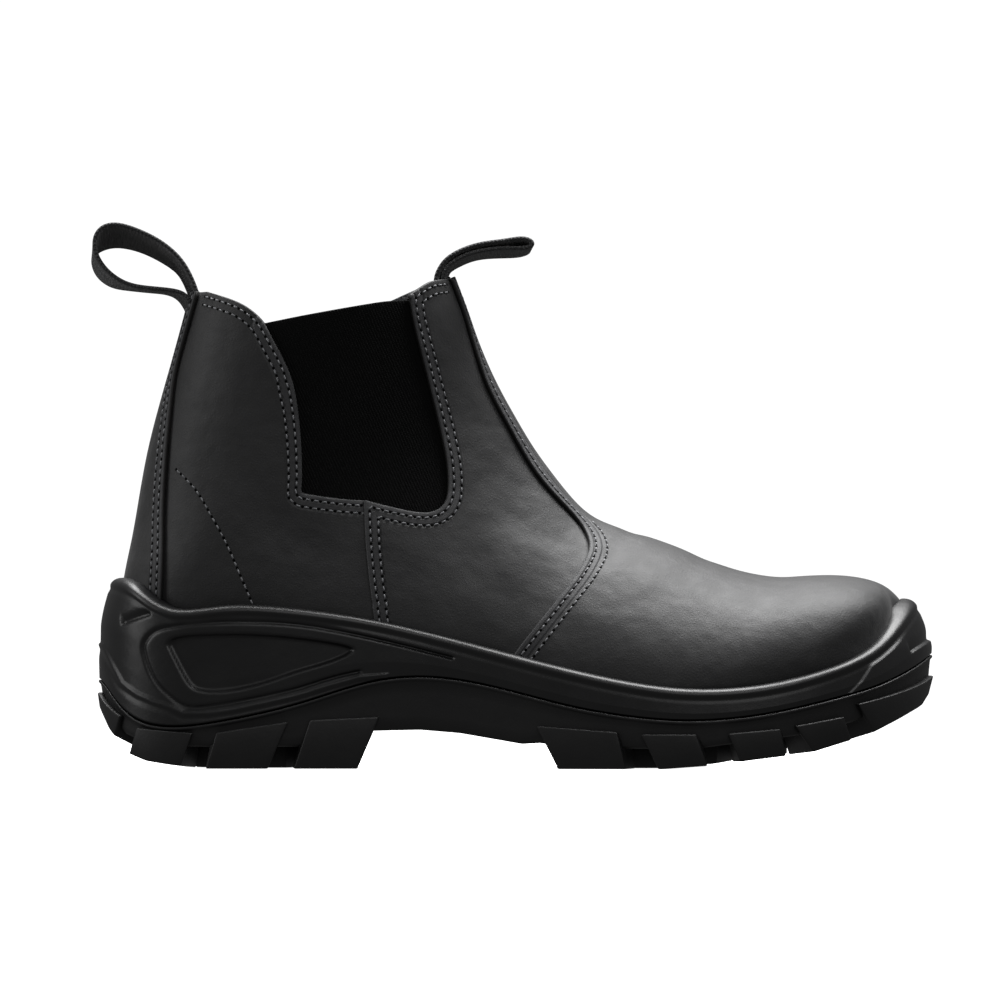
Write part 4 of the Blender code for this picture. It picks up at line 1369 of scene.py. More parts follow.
@dataclass
class Midsole:
    """The moulded foam cup that holds the foot of the upper."""

    outline: SoleOutline
    last: Last
    steps: int = 520
    wall_rows: int = 58
    leaf_depth: float = 1.9
    groove_depth: float = 1.1
    groove_width: float = 0.62
    crease_depth: float = 1.6
    notch_depth: float = 1.4
    crease_reach: float = 2.6
    crease_edge: tuple[float, float] = (-0.3, 0.4)
    band_proud: float = 0.7
    lip_depth: float = 0.45
    lip_in: float = 2.3
    lip_width: float = 1.0
    bumper_proud: float = 0.7
    bumper_fade: tuple[float, float] = (51.0, 43.0)
    joint_gap: float = 0.45
    seat_lip: float = 4.3
    seat_rise: float = 4.9
    into_leather: float = 2.0
    bead_in: float = 3.5
    bead_relief: float = 5.7
    relief_fade: tuple[float, float] = (4.4, 6.0)
    rim_below: float = 0.8
    inner_drop: float = 4.0
    floor_gap: float = 0.6
    rim: tuple[tuple[float, float], ...] = ((0.35, -0.05), (0.75, 0.0), (1.0, 0.2))
    foot_wall: tuple[float, float, float] = (-0.9, -0.6, -0.9)
    bead: tuple[tuple[float, float], ...] = (
        (5.6, -0.94), (5.1, -1.05), (4.6, -1.22), (4.1, -1.3), (3.6, -1.2), (3.1, -0.98),
        (2.6, -0.84), (2.1, -0.86), (1.6, -1.02), (1.15, -1.3), (0.75, -1.7), (0.4, -2.25),
        (0.15, -2.9), (0.02, -3.5))

    def _fold(self, spots: Array, line: Array, above: Outline, depth: float) -> Array:
        """How far a fold cuts in: at once above its line, then fading out.

        Args:
            spots: points of the side view.
            line: the foot of the fold.
            above: the area that it fades into, as a polygon.
            depth: the depth at its foot.

        Returns:
            One distance for each point.
        """
        away = line_distance(spots, line)
        return (depth * smoothstep(*self.crease_edge, signed_distance(spots, np.array(above)))
                * np.exp(-((away / self.crease_reach) ** 2)))

    def relief(self, x: Array, z: Array) -> Array:
        """How far the side wall stands out at points of the side view.

        Args:
            x: how far forward each point lies.
            z: its height.

        Returns:
            One distance for each point.
        """
        spots = np.stack([x, z], axis=1)
        leaf = signed_distance(spots, flowing(LEAF + LEAF[:1], 1.0)[:-1])
        groove = line_distance(spots, flowing(LEAF_GROOVE, 1.2))
        band = signed_distance(spots, np.array(HEEL_BAND))
        bumper = signed_distance(spots, np.array(TOE_BUMPER))
        out = -self.leaf_depth * smoothstep(-0.2, 1.3, leaf)
        out -= self.groove_depth * np.exp(-((groove / self.groove_width) ** 2))
        out -= self._fold(spots, flowing(CUP_CREASE, 1.2), ABOVE_CREASE, self.crease_depth)
        out += self.band_proud * smoothstep(-0.35, 0.35, band)
        out -= self.lip_depth * np.exp(-(((band - self.lip_in) / self.lip_width) ** 2))
        out += self.bumper_proud * smoothstep(-0.4, 0.4, bumper) * smoothstep(*self.bumper_fade, z)
        out -= self._fold(spots, np.array(TOE_NOTCH), ABOVE_NOTCH, self.notch_depth)
        return out

    def reach(self, places: Array) -> Array:
        """Distance from the sole's edge to the leather at the height of the rand.

        Args:
            places: places round the sole.

        Returns:
            One distance for each place.
        """
        spots = np.stack(np.meshgrid(np.linspace(0.2, 17.5, 420), np.linspace(-1, 1, 360),
                                     indexing="ij"), axis=-1).reshape(-1, 2)
        tree = tree_of(self.last.at(spots))
        x, y, rand, _ = self.outline.points(places, 0.0)
        away = [tree.find(p)[2] for p in np.stack([x, y, rand - self.rim_below], axis=1)]
        return np.array(away)

    def build(self) -> bpy.types.Object:
        """Makes the cup with the relief of its sides.

        Returns:
            The new object.
        """
        places = self.outline.places(self.steps)
        floor = sorted([(s.low_x, s.low_z) for s in SECTIONS[:16]] + [(296.0, 33.0)])
        reach = self.reach(places)
        rings = []

        def ring(out: Array | float, height: Callable[[Array, Array, Array], Array]) -> None:
            """Adds a ring, at heights from x, the rand and the joint."""
            x, y, rand, joint = self.outline.points(places, out)
            rings.append(np.stack([x, y, height(x, rand, joint)], axis=1))

        ring(-self.seat_lip, lambda x, rand, joint: height_at(PLATE, x) + self.seat_rise)
        ring(-self.seat_lip, lambda x, rand, joint: joint + self.joint_gap)
        ring(self.foot_wall[0] - 0.5, lambda x, rand, joint: joint + self.joint_gap)
        x0, _, rand0, joint0 = self.outline.points(places, 0.0)
        top_drop = self.bead[0][0] + 0.3
        for share in np.linspace(0, 1, self.wall_rows):
            foot = joint0 + self.joint_gap + 0.3
            z = foot + share * (rand0 - top_drop - foot)
            out = np.interp(share, [0.0, 0.4, 1.0], self.foot_wall) + self.relief(x0, z)
            out = out - self.outline.lean(places, rand0 - z)
            ring(out, lambda x, rand, joint, z=z: z)
        bead_relief = self.relief(x0, rand0 - self.bead_relief)
        for drop, out in self.bead:
            ease = smoothstep(*self.relief_fade, drop)
            out = out + bead_relief * ease - self.outline.lean(places, drop)
            ring(out, lambda x, rand, joint, d=drop: rand - d)
        start = self.bead_in + self.outline.lean(places, 0.0)
        reach = np.maximum(reach, start - self.into_leather + 1.0)
        for share, drop in self.rim:
            inner = -start - share * (reach + self.into_leather - start)
            ring(inner, lambda x, rand, joint, d=drop: rand - d)
        inner = -(reach + self.into_leather)
        ring(inner, lambda x, rand, joint: rand - self.inner_drop)
        ring(inner, lambda x, rand, joint: np.minimum(
            height_at(floor, x) - self.floor_gap, rand - self.inner_drop - 1.0))
        return ring_solid("midsole_cup", rings)


@dataclass
class Outsole:
    """The tread: a plate with a raised lip, side lugs and chevron bars."""

    outline: SoleOutline
    steps: int = 300
    lip: float = 4.0
    lug_proud: float = 1.0
    lug_reach: float = 23.0
    lug_root: float = 2.0
    lug_ledge: float = 2.5
    lug_steps: int = 10
    bevel: float = 0.55
    wall_flare: float = 0.6
    lip_bottom: float = 0.5
    seat: float = 4.4
    underside: tuple[tuple[float, float], ...] = (
        (0.0, -2.8), (0.12, -2.2), (0.5, -1.7), (1.1, -1.4))
    top_edge: tuple[tuple[float, float], ...] = (
        (1.7, -0.75), (1.3, -0.5), (1.0, -0.15), (0.7, 0.0), (0.3, 0.0), (0.08, -0.12),
        (0.0, -0.35), (0.0, -1.2))

    def plate(self) -> bpy.types.Object:
        """The plate and its lip, up to the joint with the midsole.

        Returns:
            The new object.
        """
        places = self.outline.places(self.steps)
        rings = []

        def ring(out: float, height: Callable[[Array, Array], Array]) -> None:
            """Adds a ring, at heights from x and the joint."""
            x, y, _, joint = self.outline.points(places, out)
            rings.append(np.stack([x, y, height(x, joint)], axis=1))

        for rise, out in self.underside:
            ring(out, lambda x, joint, r=rise: height_at(PLATE, x) + r)
        low_rise, low_out = self.underside[-1]
        top_drop = self.top_edge[0][0]
        for share in (0.25, 0.5, 0.75):
            ring(low_out + self.wall_flare * share, lambda x, joint, f=share: (
                height_at(PLATE, x) + low_rise) * (1 - f) + (joint - top_drop) * f)
        for drop, out in self.top_edge + ((0.0, -self.lip),):
            ring(out, lambda x, joint, d=drop: joint - d)
        ring(-self.lip, lambda x, joint: np.minimum(
            height_at(PLATE, x) + self.seat, joint - self.lip_bottom))
        return ring_solid("outsole_plate", rings)

    def _bevelled(self, name: str, rings: list[Array]) -> bpy.types.Object:
        """A solid through open sections, its sharp edges rounded.

        Args:
            name: the object's name.
            rings: the sections in order.

        Returns:
            The new object.
        """
        count = len(rings[0])
        faces = tube_faces(count, len(rings)) + end_faces(count, len(rings))
        made = new_mesh(name, np.concatenate(rings), faces)
        bm = bmesh.new()
        bm.from_mesh(made.data)
        bmesh.ops.recalc_face_normals(bm, faces=bm.faces)
        sharp = [e for e in bm.edges if e.calc_face_angle(0.0) > math.radians(24)]
        bmesh.ops.bevel(bm, geom=sharp, offset=self.bevel * MM, segments=3, profile=0.5,
                        affect="EDGES", clamp_overlap=True)
        bm.to_mesh(made.data)
        bm.free()
        made.data.shade_smooth()
        made.data.set_sharp_from_angle(angle=math.radians(40))
        return made

    def lug(self, number: int, lug: Lug, side: Side) -> bpy.types.Object:
        """One lug, from the side wall round under the sole.

        Args:
            number: its place in the table.
            lug: its row of the table.
            side: the side of the sole.

        Returns:
            The new object.
        """
        low = [self.outline.side_place(side, x) for x in (lug.low_start, lug.low_end)]
        top = [self.outline.side_place(side, x) for x in (lug.top_start, lug.top_end)]
        rings = []
        for share in np.linspace(0, 1, self.lug_steps + 1):
            low_place = low[0] + (low[1] - low[0]) * share
            top_place = top[0] + (top[1] - top[0]) * share
            top_z = lug.start_z + (lug.end_z - lug.start_z) * share
            mid_place = (low_place + top_place) / 2
            ring = []
            for place, out, level in (
                    (low_place, 0.0, "ground"), (top_place, self.lug_proud, "top"),
                    (top_place, -self.lug_ledge, "top"), (mid_place, -self.lug_ledge, "root"),
                    (mid_place, -self.lug_reach, "root"), (low_place, -self.lug_reach, "ground")):
                x, y, _, _ = self.outline.points(np.array([place]), out)
                heights = {"ground": height_at(GROUND, x[0]), "top": top_z,
                           "root": height_at(PLATE, x[0]) + self.lug_root}
                ring.append((x[0], y[0], heights[level]))
            rings.append(np.array(ring))
        return self._bevelled(f"lug_{number}_{side.name.lower()}", rings)

    def bar(self, number: int, bar: Bar) -> bpy.types.Object:
        """One chevron bar.

        Args:
            number: its place in the table.
            bar: its row of the table.

        Returns:
            The new object.
        """
        left, right = bar.centre_y - bar.half_width, bar.centre_y + bar.half_width
        corners = [(bar.back, left), (bar.back + bar.sweep, bar.centre_y), (bar.back, right),
                   (bar.front, right), (bar.front + bar.sweep, bar.centre_y), (bar.front, left)]
        rings = []
        for table, rise in ((GROUND, 0.0), (PLATE, self.lug_root)):
            rings.append(np.array([(x, y, height_at(table, x) + rise) for x, y in corners]))
        return self._bevelled(f"bar_{number}", rings)

    def build(self) -> bpy.types.Object:
        """Makes the whole tread.

        Returns:
            The new object.
        """
        pieces = [self.plate()]
        for number, lug in enumerate(LUGS):
            pieces += [self.lug(number, lug, side) for side in (Side.OUTER, Side.INNER)]
        pieces += [self.bar(number, bar) for number, bar in enumerate(BARS)]
        return join("tread", pieces)


@dataclass
class PullLoop:
    """A loop of webbing at the collar."""

    name: str
    rows: list[Strap]
    width: float
    thickness: float = 1.6
    along_steps: int = 190
    edge: tuple[tuple[float, float], ...] = ((0.0, 0.0), (0.12, 0.45), (0.4, 0.8), (0.9, 1.0))
    across_steps: int = 16

    def build(self) -> bpy.types.Object:
        """Makes the loop as a rounded ribbon along its path.

        Returns:
            The new object, with the distances along and across the webbing.
        """
        near = list(self.edge)
        inner = np.linspace(near[-1][0], self.width - near[-1][0], self.across_steps + 1)[1:-1]
        shape = near + [(d, 1.0) for d in inner] + [(self.width - d, h) for d, h in near[::-1]]
        path = Spline(self.rows)
        places = np.linspace(0, len(self.rows) - 1, self.along_steps + 1)
        strap = Strap(*path(places).T)
        centre = np.empty((len(places), len(shape), 3))
        for j, (d, _) in enumerate(shape):
            share = d / self.width
            bow = strap.bow * (1 - (2 * share - 1) ** 2)
            centre[:, j, 0] = strap.near_x + (strap.far_x - strap.near_x) * share + bow
            centre[:, j, 1] = (share - 0.5) * self.width
            centre[:, j, 2] = strap.near_z + (strap.far_z - strap.near_z) * share
        along = unit(np.gradient(centre, axis=0))
        across = unit(np.gradient(centre, axis=1))
        normal = unit(np.cross(along, across))
        half = np.array([h for _, h in shape]) * self.thickness / 2
        over = centre + normal * half[None, :, None]
        under = centre - normal * half[None, :, None]
        ring = np.concatenate([over, under[:, -2:0:-1]], axis=1)
        count = ring.shape[1]
        faces = tube_faces(count, len(places)) + end_faces(count, len(places))
        made = new_mesh(self.name, ring.reshape(-1, 3), faces)
        mid = centre[:, len(shape) // 2]
        run = run_along(mid)
        offsets = np.array([d for d, _ in shape])
        offsets = np.concatenate([offsets, offsets[-2:0:-1]])
        store(made, "along_mm", np.repeat(run, count))
        store(made, "across_mm", np.tile(offsets, len(places)))
        bm = bmesh.new()
        bm.from_mesh(made.data)
        bmesh.ops.recalc_face_normals(bm, faces=bm.faces)
        bm.to_mesh(made.data)
        bm.free()
        return made


def linear(hex_colour: str) -> tuple[float, float, float, float]:
    """An sRGB hex colour as the linear numbers that a shader takes.

    Args:
        hex_colour: the colour, with a hash mark before it.

    Returns:
        Red, green, blue and alpha.
    """
    values = [int(hex_colour[i:i + 2], 16) / 255 for i in (1, 3, 5)]
    red, green, blue = (v / 12.92 if v <= 0.04045 else ((v + 0.055) / 1.055) ** 2.4 for v in values)
    return (red, green, blue, 1.0)


class Graph:
    """The node tree of one material."""

    def __init__(self, name: str) -> None:
        """Makes a material with its shader and the place of each point.

        Args:
            name: the material's name.
        """
        self.material = bpy.data.materials.new(name)
        self.material.use_nodes = True
        self.nodes = self.material.node_tree.nodes
        self.shader = self.nodes["Principled BSDF"]
        place = self.add("ShaderNodeTexCoord", {})
        self.place = place.outputs["Object"]

    def add(self, kind: str, inputs: dict[str | int, object], **settings: object) -> bpy.types.Node:
        """Adds a node with its settings and links.

        Args:
            kind: the node's type.
            inputs: for each input, by name or number, a value or the socket linked to it.
            settings: the node's own properties.

        Returns:
            The new node.
        """
        node = self.nodes.new(kind)
        for key, value in settings.items():
            setattr(node, key, value)
        self.feed(node, inputs)
        return node

    def feed(self, node: bpy.types.Node, inputs: dict[str | int, object]) -> None:
        """Sets or links the inputs of a node.

        Args:
            node: the node.
            inputs: for each input, a value or the socket linked to it.
        """
        for key, value in inputs.items():
            socket = node.inputs[key]
            if isinstance(value, bpy.types.NodeSocket):
                self.material.node_tree.links.new(value, socket)
            else:
                socket.default_value = value

    def maths(self, operation: str, *values: object) -> bpy.types.NodeSocket:
        """The result of one sum on numbers or sockets."""
        return self.add("ShaderNodeMath", dict(enumerate(values)), operation=operation).outputs[0]

    def bump(self, height: bpy.types.NodeSocket, depth_mm: float,
             under: bpy.types.NodeSocket | None = None) -> bpy.types.NodeSocket:
        """A normal with this height's relief on it, over an earlier normal.

        Args:
            height: the relief, from 0 to 1.
            depth_mm: how deep it goes.
            under: the earlier normal.

        Returns:
            The new normal.
        """
        inputs = {"Height": height, "Strength": 1.0, "Distance": depth_mm * MM}
        if under is not None:
            inputs["Normal"] = under
        return self.add("ShaderNodeBump", inputs).outputs["Normal"]

    def noise(self, size_mm: float, detail: float = 3.0, roughness: float = 0.55,
              place: bpy.types.NodeSocket | None = None) -> bpy.types.NodeSocket:
        """A soft noise whose lumps are about this size.

        Args:
            size_mm: the size of a lump.
            detail: how many finer layers it has.
            roughness: how strong these are.
            place: where it is read.

        Returns:
            The noise, from 0 to 1.
        """
        inputs = {"Vector": place or self.place, "Scale": 1.0 / (size_mm * MM), "Detail": detail,
                  "Roughness": roughness}
        return self.add("ShaderNodeTexNoise", inputs).outputs["Fac"]

    def ramp(self, value: bpy.types.NodeSocket, stops: Sequence[tuple[float, float]],
             interpolation: str = "LINEAR") -> bpy.types.NodeSocket:
        """A number drawn from stops of position and level.

        Args:
            value: the number to look up.
            stops: the positions and levels.
            interpolation: how it runs between stops.

        Returns:
            The level.
        """
        node = self.add("ShaderNodeValToRGB", {"Fac": value})
        node.color_ramp.interpolation = interpolation
        points = node.color_ramp.elements
        while len(points) < len(stops):
            points.new(0.5)
        for point, (position, level) in zip(points, stops):
            point.position = position
            point.color = (level, level, level, 1.0)
        return node.outputs["Color"]

    def blend(self, share: object, low: str, high: str) -> bpy.types.NodeSocket:
        """A colour between two hex colours."""
        inputs = {0: share, 6: linear(low), 7: linear(high)}
        return self.add("ShaderNodeMix", inputs, data_type="RGBA").outputs[2]


@dataclass(frozen=True)
class FullGrainLeather:
    """Full grain cowhide, drum dyed black and finished with a thin satin wax.

    To the eye: fine pebbled grain, soft wide unevenness, a satin sheen that runs white at the
    edges of the form, and leather drawn in along each row of stitches, with a painted highlight
    there.
    """

    name: str = "full_grain_leather_waxed"
    dark: str = "#161617"
    light: str = "#232324"
    # Painted highlight: the paler colour of the leather along the rows of stitches.
    seam_highlight_colour: str = "#323234"
    pebble_mm: float = 1.15
    pore_mm: float = 0.34
    swell_mm: float = 17.0
    wrinkle_mm: float = 5.5
    warp_mm: float = 2.4
    warp_reach_mm: float = 0.7
    swell_depth_mm: float = 0.9
    wrinkle_depth_mm: float = 0.16
    pebble_depth_mm: float = 0.035
    pore_depth_mm: float = 0.016
    shine_mm: float = 9.0
    shine_spread: float = 0.13
    roughness: float = 0.6
    pull_mm: float = 0.34
    # By the distance from the seam in centimetres: how high the leather lies between its two
    # rows of stitches, and how much of the paler colour of the painted highlight it has.
    drawn: tuple[tuple[float, float], ...] = (
        (0.0, 0.25), (0.06, 0.9), (0.14, 0.85), (0.21, 0.0), (0.29, 0.85), (0.42, 0.85),
        (0.51, 0.0), (0.62, 0.9), (0.85, 1.0))
    seam_highlight_share: tuple[tuple[float, float], ...] = ((0.0, 0.9), (0.45, 0.8), (0.62, 0.0))

    def make(self) -> bpy.types.Material:
        """Makes the material.

        Returns:
            The new material.
        """
        graph = Graph(self.name)
        warp = graph.add("ShaderNodeTexNoise", {
            "Vector": graph.place, "Scale": 1.0 / (self.warp_mm * MM), "Detail": 2.0})
        moved = graph.add("ShaderNodeVectorMath", {
            0: warp.outputs["Color"], 1: (self.warp_reach_mm * MM,) * 3}, operation="MULTIPLY")
        place = graph.add("ShaderNodeVectorMath", {0: graph.place, 1: moved.outputs[0]},
                          operation="ADD").outputs[0]
        cells = graph.add("ShaderNodeTexVoronoi", {
            "Vector": place, "Scale": 1.0 / (self.pebble_mm * MM)}, feature="DISTANCE_TO_EDGE")
        pebble = graph.ramp(cells.outputs["Distance"], ((0.0, 0.0), (0.5, 1.0)), "EASE")
        patch = graph.noise(self.swell_mm, 2.0)
        pores = graph.noise(self.pore_mm, 2.0)
        wrinkles = graph.noise(self.wrinkle_mm, 2.0)
        normal = graph.bump(patch, self.swell_depth_mm)
        normal = graph.bump(wrinkles, self.wrinkle_depth_mm, normal)
        normal = graph.bump(pebble, self.pebble_depth_mm, normal)
        normal = graph.bump(pores, self.pore_depth_mm, normal)
        seam = graph.add("ShaderNodeAttribute", {}, attribute_name="seam_mm").outputs["Fac"]
        away = graph.maths("MULTIPLY", seam, 0.1)
        drawn = graph.ramp(away, self.drawn, "EASE")
        normal = graph.bump(drawn, self.pull_mm, normal)
        shade = graph.maths("MULTIPLY_ADD", patch, 0.7, graph.maths("MULTIPLY", pores, 0.3))
        # Painted highlight: the leather is coloured paler along the rows of stitches.
        band = graph.ramp(away, self.seam_highlight_share, "EASE")
        colour = graph.add("ShaderNodeMix", {
            0: band, 6: graph.blend(shade, self.dark, self.light), 7: linear(self.seam_highlight_colour)},
            data_type="RGBA").outputs[2]
        gloss = graph.maths("MULTIPLY_ADD", graph.noise(self.shine_mm, 3.0), self.shine_spread,
                            self.roughness - self.shine_spread / 2)
        graph.feed(graph.shader, {
            "Base Color": colour, "Roughness": gloss,
            "IOR": 1.5, "Specular IOR Level": 0.5, "Sheen Weight": 0.08, "Sheen Roughness": 0.5,
            "Normal": normal})
        return graph.material


@dataclass(frozen=True)
class CutEdge:
    """Inked black cut edge of leather: fibrous and dull; its rounded corner catches the light."""

    name: str = "leather_edge_inked"
    dark: str = "#0b0b0b"
    light: str = "#1b1a19"
    fibre_mm: float = 0.5
    fibre_depth_mm: float = 0.06
    roughness: float = 0.62

    def make(self) -> bpy.types.Material:
        """Makes the material.

        Returns:
            The new material.
        """
        graph = Graph(self.name)
        fibre = graph.noise(self.fibre_mm, 4.0)
        normal = graph.bump(fibre, self.fibre_depth_mm)
        graph.feed(graph.shader, {
            "Base Color": graph.blend(fibre, self.dark, self.light), "Roughness": self.roughness,
            "IOR": 1.5, "Normal": normal})
        return graph.material


@dataclass(frozen=True)
class TextileLining:
    """Knitted polyester lining, raised on a mesh: small open cells, matt, dark grey."""

    name: str = "lining_knitted_polyester"
    cell_mm: float = 1.6
    dark: str = "#0e0f10"
    light: str = "#2b2d30"
    hole_depth_mm: float = 0.22
    yarn_mm: float = 0.4
    yarn_depth_mm: float = 0.05
    roughness: float = 0.92

    def make(self) -> bpy.types.Material:
        """Makes the material.

        Returns:
            The new material.
        """
        graph = Graph(self.name)
        cells = graph.add("ShaderNodeTexVoronoi", {
            "Vector": graph.place, "Scale": 1.0 / (self.cell_mm * MM), "Randomness": 0.35})
        hole = graph.ramp(cells.outputs["Distance"], ((0.0, 0.0), (0.3, 0.2), (0.55, 1.0)))
        normal = graph.bump(hole, self.hole_depth_mm)
        normal = graph.bump(graph.noise(self.yarn_mm), self.yarn_depth_mm, normal)
        graph.feed(graph.shader, {
            "Base Color": graph.blend(hole, self.dark, self.light), "Roughness": self.roughness,
            "IOR": 1.5, "Sheen Weight": 0.25, "Sheen Roughness": 0.6, "Normal": normal})
        return graph.material


@dataclass(frozen=True)
class GoreElastic:
    """Ribbed elastic, woven from covered rubber: fine ribs that lean back, a dull deep black."""

    name: str = "gore_elastic_ribbed"
    rib_mm: float = 1.1
    pick_mm: float = 0.9
    lean: float = 0.45
    wobble_mm: float = 0.9
    wobble_size_mm: float = 7.0
    pick_height: float = 0.16
    rib_depth_mm: float = 0.16
    yarn_mm: float = 0.35
    yarn_depth_mm: float = 0.05
    roughness: float = 0.86
    dark: str = "#020202"
    light: str = "#070707"

    def make(self) -> bpy.types.Material:
        """Makes the material.

        Returns:
            The new material.
        """
        graph = Graph(self.name)
        split = graph.add("ShaderNodeSeparateXYZ", {0: graph.place})
        across = graph.maths("MULTIPLY_ADD", split.outputs[2], self.lean, split.outputs[0])
        wobble = graph.maths("MULTIPLY", graph.noise(self.wobble_size_mm, 2.0),
                             self.wobble_mm * MM)
        turn = graph.maths("MULTIPLY", graph.maths("ADD", across, wobble),
                           2 * math.pi / (self.rib_mm * MM))
        rib = graph.maths("MULTIPLY_ADD", graph.maths("SINE", turn), 0.5, 0.5)
        climb = graph.maths("MULTIPLY", split.outputs[2], 2 * math.pi / (self.pick_mm * MM))
        pick = graph.maths("SINE", graph.maths("ADD", climb, graph.maths("MULTIPLY", turn, 0.5)))
        weave = graph.maths("MULTIPLY_ADD", pick, self.pick_height, rib)
        normal = graph.bump(weave, self.rib_depth_mm)
        normal = graph.bump(graph.noise(self.yarn_mm), self.yarn_depth_mm, normal)
        graph.feed(graph.shader, {
            "Base Color": graph.blend(rib, self.dark, self.light), "Roughness": self.roughness,
            "IOR": 1.45, "Specular IOR Level": 0.15, "Normal": normal})
        return graph.material


@dataclass(frozen=True)
class LoopWebbing:
    """Herringbone polyester webbing, with painted glints: flecks where the yarns catch light."""

    name: str = "webbing_woven_polyester"
    yarn_mm: float = 1.3
    fold_mm: float = 3.2
    weave_depth_mm: float = 0.3
    fibre_mm: float = 0.5
    fibre_depth_mm: float = 0.12
    roughness: float = 0.72
    face: str = "#1a1a1b"
    # Painted highlight: the colour of the bright glints on the yarns.
    glint_colour: str = "#5c5d60"

    def make(self) -> bpy.types.Material:
        """Makes the material.

        Returns:
            The new material.
        """
        graph = Graph(self.name)
        along, across = (graph.add("ShaderNodeAttribute", {}, attribute_name=word).outputs["Fac"]
                         for word in ("along_mm", "across_mm"))
        fold = graph.maths("PINGPONG", across, self.fold_mm)
        slant = graph.maths("MULTIPLY", graph.maths("ADD", along, fold), 2 * math.pi / self.yarn_mm)
        rows = graph.maths("MULTIPLY", across, 2 * math.pi / self.yarn_mm)
        weave = graph.maths("MULTIPLY", graph.maths("SINE", slant), graph.maths("COSINE", rows))
        level = graph.maths("MULTIPLY_ADD", weave, 0.5, 0.5)
        fibre = graph.noise(self.fibre_mm, 3.0)
        # Painted highlight: bright glints painted on the tops of the weave where the fibre noise is
        # high.
        spots = graph.maths("MULTIPLY", graph.ramp(fibre, ((0.5, 0.0), (0.72, 1.0))), level)
        normal = graph.bump(level, self.weave_depth_mm)
        normal = graph.bump(fibre, self.fibre_depth_mm, normal)
        graph.feed(graph.shader, {
            "Base Color": graph.blend(spots, self.face, self.glint_colour), "Roughness": self.roughness,
            "IOR": 1.5, "Sheen Weight": 0.3, "Sheen Roughness": 0.4, "Normal": normal})
        return graph.material


@dataclass(frozen=True)
class SewingThread:
    """Bonded nylon thread, dyed grey and waxed: a soft twist with a bright top."""

    name: str = "thread_bonded_nylon"
    light: str = "#8e8f92"
    dark: str = "#5c5d60"
    twist_mm: float = 0.45
    twist_depth_mm: float = 0.05
    roughness: float = 0.5

    def make(self) -> bpy.types.Material:
        """Makes the material.

        Returns:
            The new material.
        """
        graph = Graph(self.name)
        twist = graph.noise(self.twist_mm, 2.0)
        graph.feed(graph.shader, {
            "Base Color": graph.blend(twist, self.dark, self.light), "Roughness": self.roughness,
            "IOR": 1.53, "Normal": graph.bump(twist, self.twist_depth_mm)})
        return graph.material


@dataclass(frozen=True)
class NeedleHoleShade:
    """Painted shade: the near black of the discs that stand for the shade in needle holes."""

    name: str = "needle_hole_painted_shade"
    dark: str = "#020202"
    light: str = "#080808"
    fibre_mm: float = 0.4
    fibre_depth_mm: float = 0.04
    roughness: float = 0.95

    def make(self) -> bpy.types.Material:
        """Makes the material.

        Returns:
            The new material.
        """
        graph = Graph(self.name)
        fibre = graph.noise(self.fibre_mm, 2.0)
        graph.feed(graph.shader, {
            "Base Color": graph.blend(fibre, self.dark, self.light), "Roughness": self.roughness,
            "Specular IOR Level": 0.1, "Normal": graph.bump(fibre, self.fibre_depth_mm)})
        return graph.material


@dataclass(frozen=True)
class MouldedFoam:
    """Polyurethane, moulded: a fine even grit from the mould, satin, with soft flow patches."""

    name: str
    dark: str
    light: str
    roughness: float
    grit_mm: float = 0.55
    grit_depth_mm: float = 0.03
    flow_mm: float = 14.0
    flow_depth_mm: float = 0.25
    shine_spread: float = 0.12

    def make(self) -> bpy.types.Material:
        """Makes the material.

        Returns:
            The new material.
        """
        graph = Graph(self.name)
        grit = graph.noise(self.grit_mm, 3.0)
        flow = graph.noise(self.flow_mm, 3.0)
        normal = graph.bump(flow, self.flow_depth_mm)
        normal = graph.bump(grit, self.grit_depth_mm, normal)
        gloss = graph.maths("MULTIPLY_ADD", flow, self.shine_spread,
                            self.roughness - self.shine_spread / 2)
        shade = graph.maths("MULTIPLY_ADD", grit, 0.4, graph.maths("MULTIPLY", flow, 0.6))
        graph.feed(graph.shader, {
            "Base Color": graph.blend(shade, self.dark, self.light),
            "Roughness": gloss, "IOR": 1.5, "Normal": normal})
        return graph.material


@dataclass(frozen=True)
class FootbedFelt:
    """Needled polyester felt on the footbed: matted fibres, matt grey."""

    name: str = "footbed_needled_felt"
    dark: str = "#1d1e20"
    light: str = "#3c3e42"
    fibre_mm: float = 0.7
    tuft_mm: float = 2.2
    fibre_depth_mm: float = 0.15
    tuft_depth_mm: float = 0.3
    roughness: float = 0.95

    def make(self) -> bpy.types.Material:
        """Makes the material.

        Returns:
            The new material.
        """
        graph = Graph(self.name)
        fibre = graph.noise(self.fibre_mm, 5.0, 0.7)
        tuft = graph.add("ShaderNodeTexVoronoi", {
            "Vector": graph.place, "Scale": 1.0 / (self.tuft_mm * MM), "Randomness": 0.6})
        normal = graph.bump(tuft.outputs["Distance"], self.tuft_depth_mm)
        normal = graph.bump(fibre, self.fibre_depth_mm, normal)
        graph.feed(graph.shader, {
            "Base Color": graph.blend(fibre, self.dark, self.light), "Roughness": self.roughness,
            "Sheen Weight": 0.3, "Normal": normal})
        return graph.material


class Softbox(NamedTuple):
    """A rectangular area light of the studio, in metres and watts."""

    name: str
    size: tuple[float, float]
    place: tuple[float, float, float]
    watts: float


SOFTBOXES = [
    Softbox("overhead", (1.3, 0.7), (0.1, 0.28, 1.1), 40.0),
    Softbox("front", (1.4, 1.0), (0.5, -1.6, 1.3), 8.0),
    Softbox("heel", (0.5, 0.9), (-1.2, -0.25, 0.55), 4.5),
]


